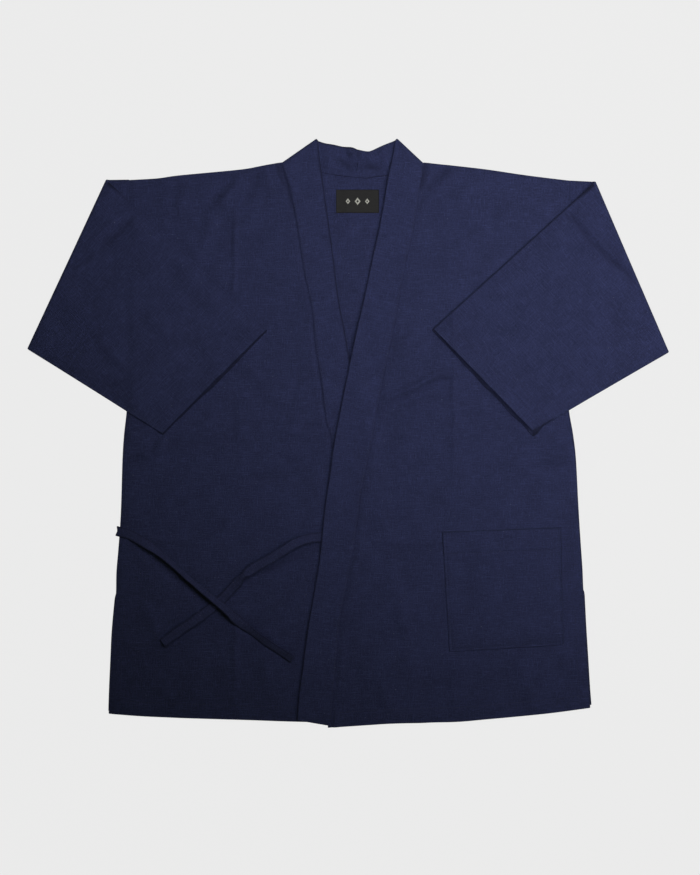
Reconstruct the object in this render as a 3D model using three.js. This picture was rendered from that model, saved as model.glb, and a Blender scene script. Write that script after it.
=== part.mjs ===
// A samue jacket laid flat on a table, front side up, with both sleeves turned in over the fronts.
// Millimetres. X runs towards the wearer's left side, Y from the hem to the neck, Z up from the table.
// Each piece that is cut and sewn is a cloth wall of its own, lying on the pieces below it.
import * as THREE from "three";

// Cloth and seams
const CLOTH = 1.2; // wall of one layer of cotton
const AIR = 0.4; // air between two layers that lie on each other
const RAW_EDGE = 0.8; // how far an edge with no side seam reaches past its line
const SEAM_GAP = 0.3; // pieces stay this far apart where they are sewn together
const COLLAR_THICK = 3.8; // folded collar, with the panel's edge held between its two layers
const ROLL_GAP = 0.8; // between the middles of two walls whose rolled edges meet, 0.3 at their faces
const SEAM_ALLOWANCE = 5; // how far a panel's edge reaches into the collar
const SLOT = CLOTH + 3 * SEAM_GAP; // the slot in the collar that holds that edge
const SLOT_DEPTH = SEAM_ALLOWANCE + 4.6;
const HEM = 20; // turned hem of the fronts
const HEM_EXTRA = 0.6; // how much the turned hem adds on the outside
const HEM_STEP = 1.2; // length of the step where the hem begins

// Garment sizes
const HEM_Y = -404;
const SHOULDER_Y = 350; // at the armhole
const PANEL_HEIGHT = 742; // from the hem to the shoulder, as the rows are set out
const VENT_TOP_Y = -238; // side vents run from here to the hem
const ARMPIT_Y = 78;
const BACK_HEM_SHORTER = 5; // the back's hem lies this far above the fronts'
const BACK_VENT_WIDER = 2.5; // below the vent's top the back shows this far outside the front
const TIE_WIDTH = 14;
const TIE_THICK = 1.6;
const TIE_AIR = 0.6; // air under a tie where it lies flat or on its edge
const POCKET_HEIGHT = 166;
const POCKET_HEM = 30;
const POCKET_OVER_RISE = 24; // the pocket bridges the rise in the front beside it over this distance
const LABEL_THICK = 1.0;

// Side lines of the body, wearer's right and left, from the armhole down to the hem
const SIDES = [
  { y: 350, right: -306.5, left: 309.5 },
  { y: 78, right: -306.0, left: 306.0 },
  { y: 27, right: -307.0, left: 306.8 },
  { y: -20, right: -311.6, left: 313.8 },
  { y: -110, right: -315.6, left: 318.4 },
  { y: -200, right: -319.8, left: 322.6 },
  { y: -240, right: -323.0, left: 327.0 },
  { y: -310, right: -330.0, left: 332.6 },
  { y: -400, right: -334.8, left: 339.6 },
];

// Lower edge of the fronts, from side to side
const RIGHT_HEM = [
  { x: -334, y: -392.6 },
  { x: -281, y: -396.2 },
  { x: -214, y: -399.0 },
  { x: -74, y: -403.0 },
  { x: 60, y: -404.0 },
];
const LEFT_HEM = [
  { x: -27, y: -409.4 },
  { x: 59, y: -405.4 },
  { x: 154, y: -403.6 },
  { x: 227, y: -397.0 },
  { x: 339, y: -383.6 },
];

// Shoulder lines, from the armhole to the neck
const RIGHT_SHOULDER = [
  { x: -306.5, y: 348.6 },
  { x: -237, y: 354.6 },
  { x: -142, y: 364.6 },
  { x: -94, y: 371.6 },
];
const LEFT_SHOULDER = [
  { x: 107, y: 370.6 },
  { x: 147, y: 369.0 },
  { x: 242, y: 356.2 },
  { x: 309.5, y: 348.2 },
];

// Collar, one row for each section across it: the folded free edge and the sewn edge.
// back: from the centre of the neck round to the turnover at the side of the neck.
// front: from the turnover down to the hem.
const RIGHT_COLLAR = {
  back: [
    { freeX: 12.4, freeY: 391.0, sewnX: 12.4, sewnY: 355.6 },
    { freeX: -6, freeY: 395.0, sewnX: -18, sewnY: 359.0 },
    { freeX: -24, freeY: 401.0, sewnX: -53, sewnY: 366.0 },
    { freeX: -41.2, freeY: 407.1, sewnX: -91.6, sewnY: 372.1 },
  ],
  front: [
    { freeX: -41.2, freeY: 407.1, sewnX: -91.6, sewnY: 372.1 },
    { freeX: -38.8, freeY: 384, sewnX: -87.6, sewnY: 358 },
    { freeX: -35.2, freeY: 345, sewnX: -80.9, sewnY: 335 },
    { freeX: -28.6, freeY: 290, sewnX: -70.4, sewnY: 282 },
    { freeX: -15.2, freeY: 200, sewnX: -55, sewnY: 192 },
    { freeX: 2.8, freeY: 100, sewnX: -41, sewnY: 92 },
    { freeX: 22.4, freeY: -18, sewnX: -21.4, sewnY: -26 },
    { freeX: 56, freeY: -210, sewnX: 12.7, sewnY: -218 },
    { freeX: 90, freeY: -401, sewnX: 45.6, sewnY: -404 },
  ],
};
const LEFT_COLLAR = {
  back: [
    { freeX: 12.8, freeY: 391.0, sewnX: 12.8, sewnY: 355.6 },
    { freeX: 32, freeY: 392.6, sewnX: 38, sewnY: 356.6 },
    { freeX: 50, freeY: 400.4, sewnX: 71, sewnY: 362.4 },
    { freeX: 65.0, freeY: 407.2, sewnX: 105.2, sewnY: 371.0 },
  ],
  front: [
    { freeX: 65.0, freeY: 407.2, sewnX: 105.2, sewnY: 371.0 },
    { freeX: 61.6, freeY: 384, sewnX: 103.6, sewnY: 358 },
    { freeX: 54.4, freeY: 345, sewnX: 100.2, sewnY: 336 },
    { freeX: 43.8, freeY: 290, sewnX: 91.6, sewnY: 281 },
    { freeX: 24.8, freeY: 200, sewnX: 73.6, sewnY: 191 },
    { freeX: 3.0, freeY: 100, sewnX: 53.2, sewnY: 91 },
    { freeX: -19.4, freeY: -18, sewnX: 30.6, sewnY: -27 },
    { freeX: -36.6, freeY: -143, sewnX: 10.2, sewnY: -152 },
    { freeX: -55.6, freeY: -273, sewnX: -9.6, sewnY: -281 },
    { freeX: -71, freeY: -401.4, sewnX: -26.6, sewnY: -410.2 },
  ],
};

// Sleeves as they lie: the crease where each is turned in, and its cuff after the turn
const RIGHT_SLEEVE = {
  name: "right",
  side: -1,
  armholeY: [349.8, 78.4],
  creaseTop: [-344.0, 352.6],
  creaseBottom: [-447.6, 114.8],
  cuffTop: [-114.8, 142.8],
  cuffBottom: [-259.0, -5.6],
};
const LEFT_SLEEVE = {
  name: "left",
  side: 1,
  armholeY: [349.4, 74.6],
  creaseTop: [345.4, 350.4],
  creaseBottom: [447.6, 114.8],
  cuffTop: [119.0, 142.8],
  cuffBottom: [257.6, 2.8],
};
const CREASE_AXIS_Z = 4.0; // the sleeve turns over about a line at this height
const CREASE_SETTLE = 60; // the turned part comes to rest this far from the crease
const TURNED_AIR = 0.9; // and lies this far above the front
const OFF_BODY = { stay: 16, down: 30 }; // past the body's side it sinks towards the table

// Pocket corners on the left front, from the mouth down
const POCKET = {
  mouthInner: [133.0, -140.3],
  mouthOuter: [296.8, -134.4],
  footInner: [142.2, -306.6],
  footOuter: [300.6, -296.8],
};

// Woven label on the inside of the back
const LABEL = { x0: -16.4, x1: 43.2, y0: 306.6, y1: 338.8 };

// Ties, one row for each bend: the middle of the strip, its height over the cloth, and its tilt in degrees
const FRONT_TIE = [
  { x: -26, y: -146.5, over: 0.2, tilt: 0 },
  { x: -58, y: -149.4, over: 0.4, tilt: 0 },
  { x: -75, y: -155.8, over: 0.8, tilt: 0 },
  { x: -90, y: -165.2, over: 0.8, tilt: 6 },
  { x: -108, y: -176.7, over: 0.4, tilt: 12 },
  { x: -127, y: -186.2, over: 0.2, tilt: 30 },
  { x: -142, y: -196.0, over: 0.2, tilt: 48 },
  { x: -155, y: -212.0, over: 0.2, tilt: 30 },
  { x: -167, y: -224.8, over: 0.0, tilt: 8 },
  { x: -182, y: -239.0, over: 0.0, tilt: 0 },
  { x: -200, y: -253.0, over: 0.0, tilt: 0 },
  { x: -234, y: -276.6, over: 0.0, tilt: 0 },
  { x: -259, y: -295.0, over: 0.0, tilt: 0 },
];
const SIDE_TIE = [
  { x: -304, y: -143.4, over: 0.4, tilt: 0 },
  { x: -283, y: -156.2, over: 0.4, tilt: -14 },
  { x: -266, y: -167.0, over: 0.2, tilt: -44 },
  { x: -244, y: -186.2, over: 0.2, tilt: -62 },
  { x: -219, y: -208.7, over: 0.8, tilt: -64 },
  { x: -197, y: -226.0, over: 2.4, tilt: -58 },
  { x: -178, y: -239.8, over: 2.8, tilt: -30 },
  { x: -163, y: -253.8, over: 2.0, tilt: -24 },
  { x: -150, y: -266.7, over: 0.8, tilt: -50 },
  { x: -133, y: -279.4, over: 0.2, tilt: -64 },
  { x: -111, y: -294.4, over: 0.2, tilt: -64 },
  { x: -77, y: -314.9, over: 0.2, tilt: -62 },
];
const SIDE_TIE_LEAD = [
  [-319.6, -138.6, 1.2],
  [-320.2, -139.0, 3.4],
  [-316.6, -140.2, 5.0],
];
const FRONT_TIE_ROOT = { x: -30, y: -147, lift: 2.3, stay: 24, down: 26 };

// Broad folds of the fronts: a ridge from one point to the other
const FOLDS = [
  { x0: 306, y0: -26, x1: 214, y1: -47, high: 2.6, wide: 24 },
  { x0: 46, y0: 40, x1: 142, y1: 84, high: 2.0, wide: 26 },
  { x0: -300, y0: -38, x1: -252, y1: -4, high: 2.4, wide: 24 },
  { x0: -150, y0: 352, x1: -196, y1: 300, high: 2.4, wide: 26 },
  { x0: -160, y0: -150, x1: -158, y1: -388, high: 1.6, wide: 26 },
  { x0: 146, y0: 60, x1: 150, y1: -110, high: 1.6, wide: 26 },
];
const FOLDS_END = 14; // folds die out within this distance of the side lines

// Where a layer passes over an edge below it, it stays up for the first distance past
// the edge, and comes down over the second
const OVER_COLLAR = { stay: 30, down: 40 };
const OVER_NECK = { stay: 12, down: 36 };
const NECK_LIFT = 22; // a panel rises into its collar over this distance

// Rounding of the collar's folded edge: distance in from the edge, and share of the half thickness
const COLLAR_ROUNDING = [
  { inset: 0, thick: 0 },
  { inset: 0.9, thick: 0.72 },
  { inset: 2.6, thick: 1 },
];
const COLLAR_SHARES = [0.28, 0.52, 0.74]; // points across the collar, from its free edge

// Mesh density
const BACK_ROW_STEP = 44;
const FRONT_ROW_STEP = 30;
const ROLL_SHARES = [0.35, 0.7, 1]; // shares of the quarter turn at a shoulder or a side seam
const FRONT_COLUMNS = 11;
const COLLAR_STEP = 28;
const TURN_STEPS = 6;
const SLEEVE_COLUMNS = 7;

const clamp01 = (t) => Math.min(1, Math.max(0, t));
const smooth = (t) => clamp01(t) ** 2 * (3 - 2 * clamp01(t));
const lerp = (a, b, t) => a + (b - a) * t;

// Value of a column at a given key, from rows sorted either way, straight between rows.
function lookUp(rows, keyName, key, column) {
  const rising = rows[rows.length - 1][keyName] > rows[0][keyName];
  const sorted = rising ? rows : [...rows].reverse();
  let i = 1;
  while (i < sorted.length - 1 && sorted[i][keyName] < key) i++;
  const a = sorted[i - 1];
  const b = sorted[i];
  return lerp(a[column], b[column], (key - a[keyName]) / (b[keyName] - a[keyName]));
}

function distanceToSegment(x, y, x0, y0, x1, y1) {
  const dx = x1 - x0;
  const dy = y1 - y0;
  const t = clamp01(((x - x0) * dx + (y - y0) * dy) / (dx * dx + dy * dy));
  return { away: Math.hypot(x - x0 - t * dx, y - y0 - t * dy), t };
}

function distanceToLine(x, y, points) {
  let best = Infinity;
  for (let i = 1; i < points.length; i++) {
    const [a, b] = [points[i - 1], points[i]];
    best = Math.min(best, distanceToSegment(x, y, a.x, a.y, b.x, b.y).away);
  }
  return best;
}

// The line where the collar is sewn to the back's neck, and those down the two fronts
const neckLine = [...RIGHT_COLLAR.back].reverse().concat(LEFT_COLLAR.back.slice(1))
  .map((row) => ({ x: row.sewnX, y: row.sewnY }));
const seamLine = (collar) => collar.front.map((row) => ({ x: row.sewnX, y: row.sewnY }));
const rightSeam = seamLine(RIGHT_COLLAR);
const leftSeam = seamLine(LEFT_COLLAR);

const sideX = (name, y) => lookUp(SIDES, "y", y, name);

// Height that the broad folds add to everything above the back
function foldHeight(x, y) {
  const inside = Math.min(x - sideX("right", y), sideX("left", y) - x);
  let height = 0;
  for (const f of FOLDS) {
    const { away, t } = distanceToSegment(x, y, f.x0, f.y0, f.x1, f.y1);
    const ends = smooth(Math.min(t, 1 - t) / 0.25 + 0.35);
    height = Math.max(height, f.high * ends * (1 - smooth(away / f.wide)));
  }
  return height * smooth(inside / FOLDS_END);
}

// 1 over an edge and just past it, 0 well away from it
const overEdge = (distance, { stay, down }) => 1 - smooth((distance - stay) / down);

const aboveNeckLine = (x, y) =>
  x > neckLine[0].x && x < neckLine.at(-1).x && y > lookUp(neckLine, "x", x, "y");

// Middle height of the back's wall: flat on the table, lifted at the neck into the collar's slot.
function backMid(x, y) {
  const away = aboveNeckLine(x, y) ? 0 : distanceToLine(x, y, neckLine);
  return CLOTH / 2 + ((COLLAR_THICK - CLOTH) / 2) * (1 - smooth(away / NECK_LIFT));
}

// Top of what lies on the table under the fronts: the back, and the collar behind the neck.
function backTop(x, y) {
  const onCollar = aboveNeckLine(x, y) ? 1 : overEdge(distanceToLine(x, y, neckLine), OVER_NECK);
  return lerp(backMid(x, y) + CLOTH / 2, COLLAR_THICK, onCollar);
}

// Middle height of a front's wall that lies on a given support, lifted into its collar's slot.
function frontMidOn(support, x, y, seam) {
  const lift = (COLLAR_THICK - CLOTH) / 2;
  return support + AIR + CLOTH / 2 + lift * (1 - smooth(distanceToLine(x, y, seam) / NECK_LIFT));
}

const rightCollarMid = (x, y) => backTop(x, y) + AIR + COLLAR_THICK / 2 + foldHeight(x, y);

function rightFrontMid(x, y) {
  const inCollar = x > lookUp(rightSeam, "y", y, "x");
  if (inCollar) return rightCollarMid(x, y);
  return frontMidOn(backTop(x, y), x, y, rightSeam) + foldHeight(x, y);
}

// Top of what lies under the left front and its collar, with the right front and collar added.
function leftSupport(x, y) {
  const table = backTop(x, y);
  const free = lookUp(RIGHT_COLLAR.front, "freeY", y, "freeX");
  const sewn = lookUp(RIGHT_COLLAR.front, "sewnY", y, "sewnX");
  const hemTop = lookUp(RIGHT_HEM, "x", x, "y") + HEM;
  const hem = HEM_EXTRA * overEdge(y - hemTop, OVER_COLLAR);
  const collarTop = table + AIR + COLLAR_THICK;
  const panelTop = table + AIR + CLOTH + hem;
  const right = lerp(panelTop, collarTop, overEdge(sewn - x, OVER_COLLAR));
  const root = Math.hypot(x - FRONT_TIE_ROOT.x, y - FRONT_TIE_ROOT.y);
  const overTie = FRONT_TIE_ROOT.lift * overEdge(root, FRONT_TIE_ROOT);
  return lerp(table, right, overEdge(x - free, OVER_COLLAR)) + overTie;
}

const leftCollarMid = (x, y) => leftSupport(x, y) + AIR + COLLAR_THICK / 2 + foldHeight(x, y);

function leftFrontMid(x, y) {
  const inCollar = x < lookUp(leftSeam, "y", y, "x");
  if (inCollar) return leftCollarMid(x, y);
  return frontMidOn(leftSupport(x, y), x, y, leftSeam) + foldHeight(x, y);
}

// Unit normals of a grid of points, rows by columns. closed: the last column meets the first.
function gridNormals(grid, closed) {
  const rows = grid.length;
  const columns = grid[0].length;
  return grid.map((row, i) => row.map((_, j) => {
    const before = closed ? (j + columns - 1) % columns : Math.max(j - 1, 0);
    const after = closed ? (j + 1) % columns : Math.min(j + 1, columns - 1);
    const across = grid[i][after].clone().sub(grid[i][before]);
    const along = grid[Math.min(i + 1, rows - 1)][j].clone().sub(grid[Math.max(i - 1, 0)][j]);
    return across.cross(along).normalize();
  }));
}

// A mesh from points, four-sided faces and triangles, turned so that its faces point out.
function geometryFrom(points, quads, triangles = []) {
  const index = [...triangles];
  for (const [a, b, c, d] of quads) index.push(a, b, c, a, c, d);
  let volume = 0;
  for (let i = 0; i < index.length; i += 3) {
    const [a, b, c] = [points[index[i]], points[index[i + 1]], points[index[i + 2]]];
    volume += a.dot(b.clone().cross(c));
  }
  if (volume < 0) index.reverse();
  const geometry = new THREE.BufferGeometry().setFromPoints(points);
  geometry.setIndex(index);
  geometry.computeVertexNormals();
  return geometry;
}

// A closed cloth wall round a grid of points in its middle. above and below are the wall's
// two half thicknesses; above may be a function of the row and the column.
function clothWall(grid, { above = CLOTH / 2, below = CLOTH / 2, closed = false } = {}) {
  const rows = grid.length;
  const columns = grid[0].length;
  const normals = gridNormals(grid, closed);
  const aboveAt = typeof above === "function" ? above : () => above;
  const points = [];
  for (const offset of [aboveAt, () => -below])
    grid.forEach((row, i) => row.forEach((p, j) => {
      points.push(p.clone().addScaledVector(normals[i][j], offset(i, j)));
    }));
  const at = (side, i, j) => side * rows * columns + i * columns + (j % columns);
  const quads = [];
  const lastColumn = closed ? columns : columns - 1;
  for (let i = 0; i < rows - 1; i++)
    for (let j = 0; j < lastColumn; j++) {
      quads.push([at(0, i, j), at(0, i, j + 1), at(0, i + 1, j + 1), at(0, i + 1, j)]);
      quads.push([at(1, i, j), at(1, i + 1, j), at(1, i + 1, j + 1), at(1, i, j + 1)]);
    }
  for (let j = 0; j < lastColumn; j++) {
    const end = rows - 1;
    quads.push([at(0, 0, j), at(1, 0, j), at(1, 0, j + 1), at(0, 0, j + 1)]);
    quads.push([at(0, end, j), at(0, end, j + 1), at(1, end, j + 1), at(1, end, j)]);
  }
  if (!closed)
    for (let i = 0; i < rows - 1; i++) {
      const end = columns - 1;
      quads.push([at(0, i, 0), at(0, i + 1, 0), at(1, i + 1, 0), at(1, i, 0)]);
      quads.push([at(0, i, end), at(1, i, end), at(1, i + 1, end), at(0, i + 1, end)]);
    }
  return geometryFrom(points, quads);
}

// Shares of a panel's height for its rows: the hem and its step, even rows, and the neck's seam.
function rowShares(step) {
  const last = PANEL_HEIGHT - SEAM_ALLOWANCE - NECK_LIFT;
  const rows = [0, HEM, HEM + HEM_STEP];
  const steps = Math.round((last - HEM) / step);
  for (let k = 1; k <= steps; k++) rows.push(lerp(HEM + HEM_STEP, last, k / steps));
  rows.push(PANEL_HEIGHT - SEAM_ALLOWANCE - 2, PANEL_HEIGHT);
  return rows.map((height) => height / PANEL_HEIGHT);
}

// A quarter turn that closes an edge between front and back. amount: 1 rolled, 0 left flat.
function rollOver(radius, share, amount) {
  const angle = Math.acos(clamp01(ROLL_GAP / 2 / radius)) * share;
  return {
    out: lerp(RAW_EDGE * share, radius * Math.sin(angle), amount),
    turn: radius * (1 - Math.cos(angle)) * amount,
  };
}

// The side seam is rolled between the armpit and the vent, and flat at the armhole and the vent.
const sideRoll = (y) => smooth((ARMPIT_Y - FRONT_ROW_STEP - y) / 24) * smooth((y - VENT_TOP_Y) / 24);

// Middle of a panel's wall, with its edges rolled at the shoulder and the side seams. at(column, v)
// gives a plan point, mid its height, and other the height of the panel on the other side.
function rolledPanel({ columns, vs, at, mid, other, isShoulder, sides }) {
  const place = ({ column, sideShare, side }, v, topShare) => {
    const p = at(column, v);
    const z = mid(p.x, p.y);
    const otherZ = other(p.x, p.y);
    const radius = Math.abs(otherZ - z) / 2;
    const edge = rollOver(radius, sideShare, sideRoll(p.y));
    const top = rollOver(radius, topShare, isShoulder(column) ? 1 : 0);
    return new THREE.Vector3(
      p.x + side * edge.out,
      p.y + top.out,
      z + Math.sign(otherZ - z) * (edge.turn + top.turn),
    );
  };
  const rolled = (column, side) => ROLL_SHARES.map((sideShare) => ({ column, sideShare, side }));
  const all = columns.map((column) => ({ column, sideShare: 0, side: 0 }));
  if (sides.includes(-1)) all.unshift(...rolled(columns[0], -1).reverse());
  if (sides.includes(1)) all.push(...rolled(columns.at(-1), 1));
  const rows = vs.map((v) => [v, 0]).concat(ROLL_SHARES.map((share) => [1, share]));
  return { grid: rows.map(([v, share]) => all.map((c) => place(c, v, share))), all };
}

// How far a panel's edge reaches into the collar: it stops short of it beside the turnover.
function reachInto(distanceFromTurnover) {
  return lerp(-2.5, SEAM_ALLOWANCE, smooth((distanceFromTurnover - 4) / 36));
}

function back() {
  const neck = [neckLine[0].x, neckLine.at(-1).x];
  const [sideR, sideL] = [sideX("right", SHOULDER_Y), sideX("left", SHOULDER_Y)];
  const runs = [
    { from: sideR, to: neck[0], count: 5 },
    { from: neck[0], to: neck[1], count: 7 },
    { from: neck[1], to: sideL, count: 5 },
  ];
  const columns = [];
  for (const { from, to, count } of runs)
    for (let k = 0; k < count; k++) columns.push(lerp(from, to, k / count));
  columns.push(sideL);
  const topY = (x) => {
    if (x <= neck[0] + 0.1) return lookUp(RIGHT_SHOULDER, "x", x, "y");
    if (x >= neck[1] - 0.1) return lookUp(LEFT_SHOULDER, "x", x, "y");
    return lookUp(neckLine, "x", x, "y") + reachInto(Math.min(x - neck[0], neck[1] - x));
  };
  const hemY = (x) => {
    const hem = x < 0 ? lookUp(RIGHT_HEM, "x", x, "y") : lookUp(LEFT_HEM, "x", x, "y");
    return hem + BACK_HEM_SHORTER;
  };
  const at = (topX, v) => {
    const level = lerp(HEM_Y, SHOULDER_Y, v);
    const wider = BACK_VENT_WIDER * smooth((VENT_TOP_Y - level) / 12);
    const share = (topX - sideR) / (sideL - sideR);
    const x = lerp(sideX("right", level) - wider, sideX("left", level) + wider, share);
    return { x, y: lerp(hemY(x), topY(topX), v) };
  };
  const { grid } = rolledPanel({
    columns,
    vs: rowShares(BACK_ROW_STEP),
    at,
    mid: backMid,
    other: (x, y) => (x < 0 ? rightFrontMid(x, y) : leftFrontMid(x, y)),
    isShoulder: (x) => x <= neck[0] - 3 || x >= neck[1] + 3,
    sides: [-1, 1],
  });
  return clothWall(grid);
}

// A front panel, between its side and its collar seam. side is -1 for the wearer's right.
function front({ name, side, seam, hem, shoulder, mid }) {
  const [seamHead, seamFoot] = [seam[0], seam.at(-1)];
  const outer = (v) => {
    const low = lookUp(hem, "x", sideX(name, HEM_Y), "y");
    const high = lookUp(shoulder, "x", sideX(name, SHOULDER_Y), "y");
    const y = lerp(low, high, v);
    return { x: sideX(name, y), y };
  };
  const inner = (v) => {
    const y = lerp(seamFoot.y + 1.5, seamHead.y - 2, v);
    const x = lookUp(seam, "y", y, "x");
    return { x: x - side * reachInto(Math.hypot(x - seamHead.x, y - seamHead.y)), y };
  };
  // Columns as distances from the inner edge: three along the collar seam, then even shares.
  const seamStrip = [0, SEAM_ALLOWANCE + 1.5, SEAM_ALLOWANCE + 5];
  const rest = SEAM_ALLOWANCE + NECK_LIFT;
  const columns = seamStrip.map((distance) => ({ distance, flat: distance < SEAM_ALLOWANCE + 2 }));
  for (let k = 0; k <= FRONT_COLUMNS; k++) columns.push({ share: k / FRONT_COLUMNS });
  if (side < 0) columns.reverse();
  const at = (column, v) => {
    const [o, i] = [outer(v), inner(v)];
    const width = Math.abs(o.x - i.x);
    const distance = column.distance ?? lerp(rest, width, column.share);
    const share = distance / width;
    const x = lerp(i.x, o.x, share);
    const hemBow = lookUp(hem, "x", x, "y") - lerp(inner(0).y, outer(0).y, share);
    const topBow = lookUp(shoulder, "x", x, "y") - lerp(inner(1).y, outer(1).y, share);
    const y = lerp(i.y, o.y, share) + hemBow * smooth(1 - v / 0.2) + topBow * smooth((v - 0.85) / 0.15);
    return { x, y };
  };
  const { grid, all } = rolledPanel({
    columns, vs: rowShares(FRONT_ROW_STEP), at, mid, other: backMid, isShoulder: () => true, sides: [side],
  });
  // The turned hem is two layers thick, but not where the collar holds the panel's edge.
  const above = (i, j) => CLOTH / 2 + (i < 2 && !all[j].column.flat ? HEM_EXTRA : 0);
  return clothWall(grid, { above });
}

// Section across the collar, as shares of its width from the free edge and distances from its
// middle: along the underside, into the slot and out again, and back on top.
function collarSection(width) {
  const half = COLLAR_THICK / 2;
  const slotEnd = 1 - SLOT_DEPTH / width;
  const round = COLLAR_ROUNDING.map(({ inset, thick }) => [inset / width, thick * half]);
  const body = [...COLLAR_SHARES, 1].map((share) => [share, half]);
  const under = [...round, ...body].map(([share, n]) => [share, -n]);
  const slot = [[1, -SLOT / 2], [slotEnd, -SLOT / 2], [slotEnd, SLOT / 2], [1, SLOT / 2]];
  const over = [...body].reverse().concat(round.slice(1).reverse());
  return [...under, ...slot, ...over];
}

// Even steps along a collar's rows: pairs of points on the free edge and the sewn edge.
function collarSteps(rows) {
  const edge = (x, y) => new THREE.CatmullRomCurve3(
    rows.map((row) => new THREE.Vector3(row[x], row[y], 0)), false, "centripetal");
  const free = edge("freeX", "freeY");
  const sewn = edge("sewnX", "sewnY");
  const steps = Math.max(4, Math.round(free.getLength() / COLLAR_STEP));
  const pairs = [];
  for (let k = 0; k <= steps; k++) {
    const t = free.getUtoTmapping(k / steps);
    pairs.push([free.getPoint(t), sewn.getPoint(t)]);
  }
  return pairs;
}

// Sections of a collar half as functions of the share across it, from the centre of the back of
// the neck, round the turnover, and down to the hem. mid gives the height of the front part.
function collarSections(collar, mid) {
  const low = COLLAR_THICK / 2;
  const onLevel = (heightAt) => ([free, sewn]) => (share) => {
    const p = free.clone().lerp(sewn, share);
    return p.setZ(heightAt(p));
  };
  const behind = collarSteps(collar.back).map(onLevel(() => low));
  const inFront = collarSteps(collar.front).map(onLevel((p) => mid(p.x, p.y)));
  const [free, sewn] = collarSteps(collar.front)[0];
  const across = sewn.clone().sub(free).normalize();
  const out = new THREE.Vector3(-across.y, across.x, 0);
  if (out.y < 0) out.negate();
  const turn = [];
  for (let k = 1; k < TURN_STEPS; k++) {
    const angle = (Math.PI * k) / TURN_STEPS;
    turn.push((share) => {
      const p = free.clone().lerp(sewn, share);
      const high = mid(p.x, p.y);
      const radius = (high - low) / 2;
      return p.addScaledVector(out, radius * Math.sin(angle)).setZ(low + radius * (1 - Math.cos(angle)));
    });
  }
  return [...behind, ...turn, ...inFront];
}

function collarHalf(collar, mid) {
  const sections = collarSections(collar, mid);
  const rings = sections.map((section) => collarSection(section(0).distanceTo(section(1))));
  const nudge = 0.01; // share across the collar over which its slope is measured
  const points = [];
  sections.forEach((section, i) => {
    const before = sections[Math.max(i - 1, 0)];
    const after = sections[Math.min(i + 1, sections.length - 1)];
    for (const [share, n] of rings[i]) {
      const across = section(Math.min(share + nudge, 1)).sub(section(Math.max(share - nudge, 0)));
      const along = after(share).sub(before(share));
      points.push(section(share).addScaledVector(across.cross(along).normalize(), n));
    }
  });
  const size = rings[0].length;
  const quads = [];
  for (let i = 0; i < sections.length - 1; i++)
    for (let j = 0; j < size; j++) {
      const k = (j + 1) % size;
      quads.push([i * size + j, i * size + k, (i + 1) * size + k, (i + 1) * size + j]);
    }
  const outline = rings[0].map(([share, n]) => new THREE.Vector2(share * SLOT_DEPTH, n));
  const last = (sections.length - 1) * size;
  const caps = [];
  for (const cap of THREE.ShapeUtils.triangulateShape(outline, [])) {
    const [a, b, c] = THREE.ShapeUtils.area(outline) > 0 ? [...cap].reverse() : cap;
    caps.push(a, b, c, last + c, last + b, last + a);
  }
  return geometryFrom(points, quads, caps);
}

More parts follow.
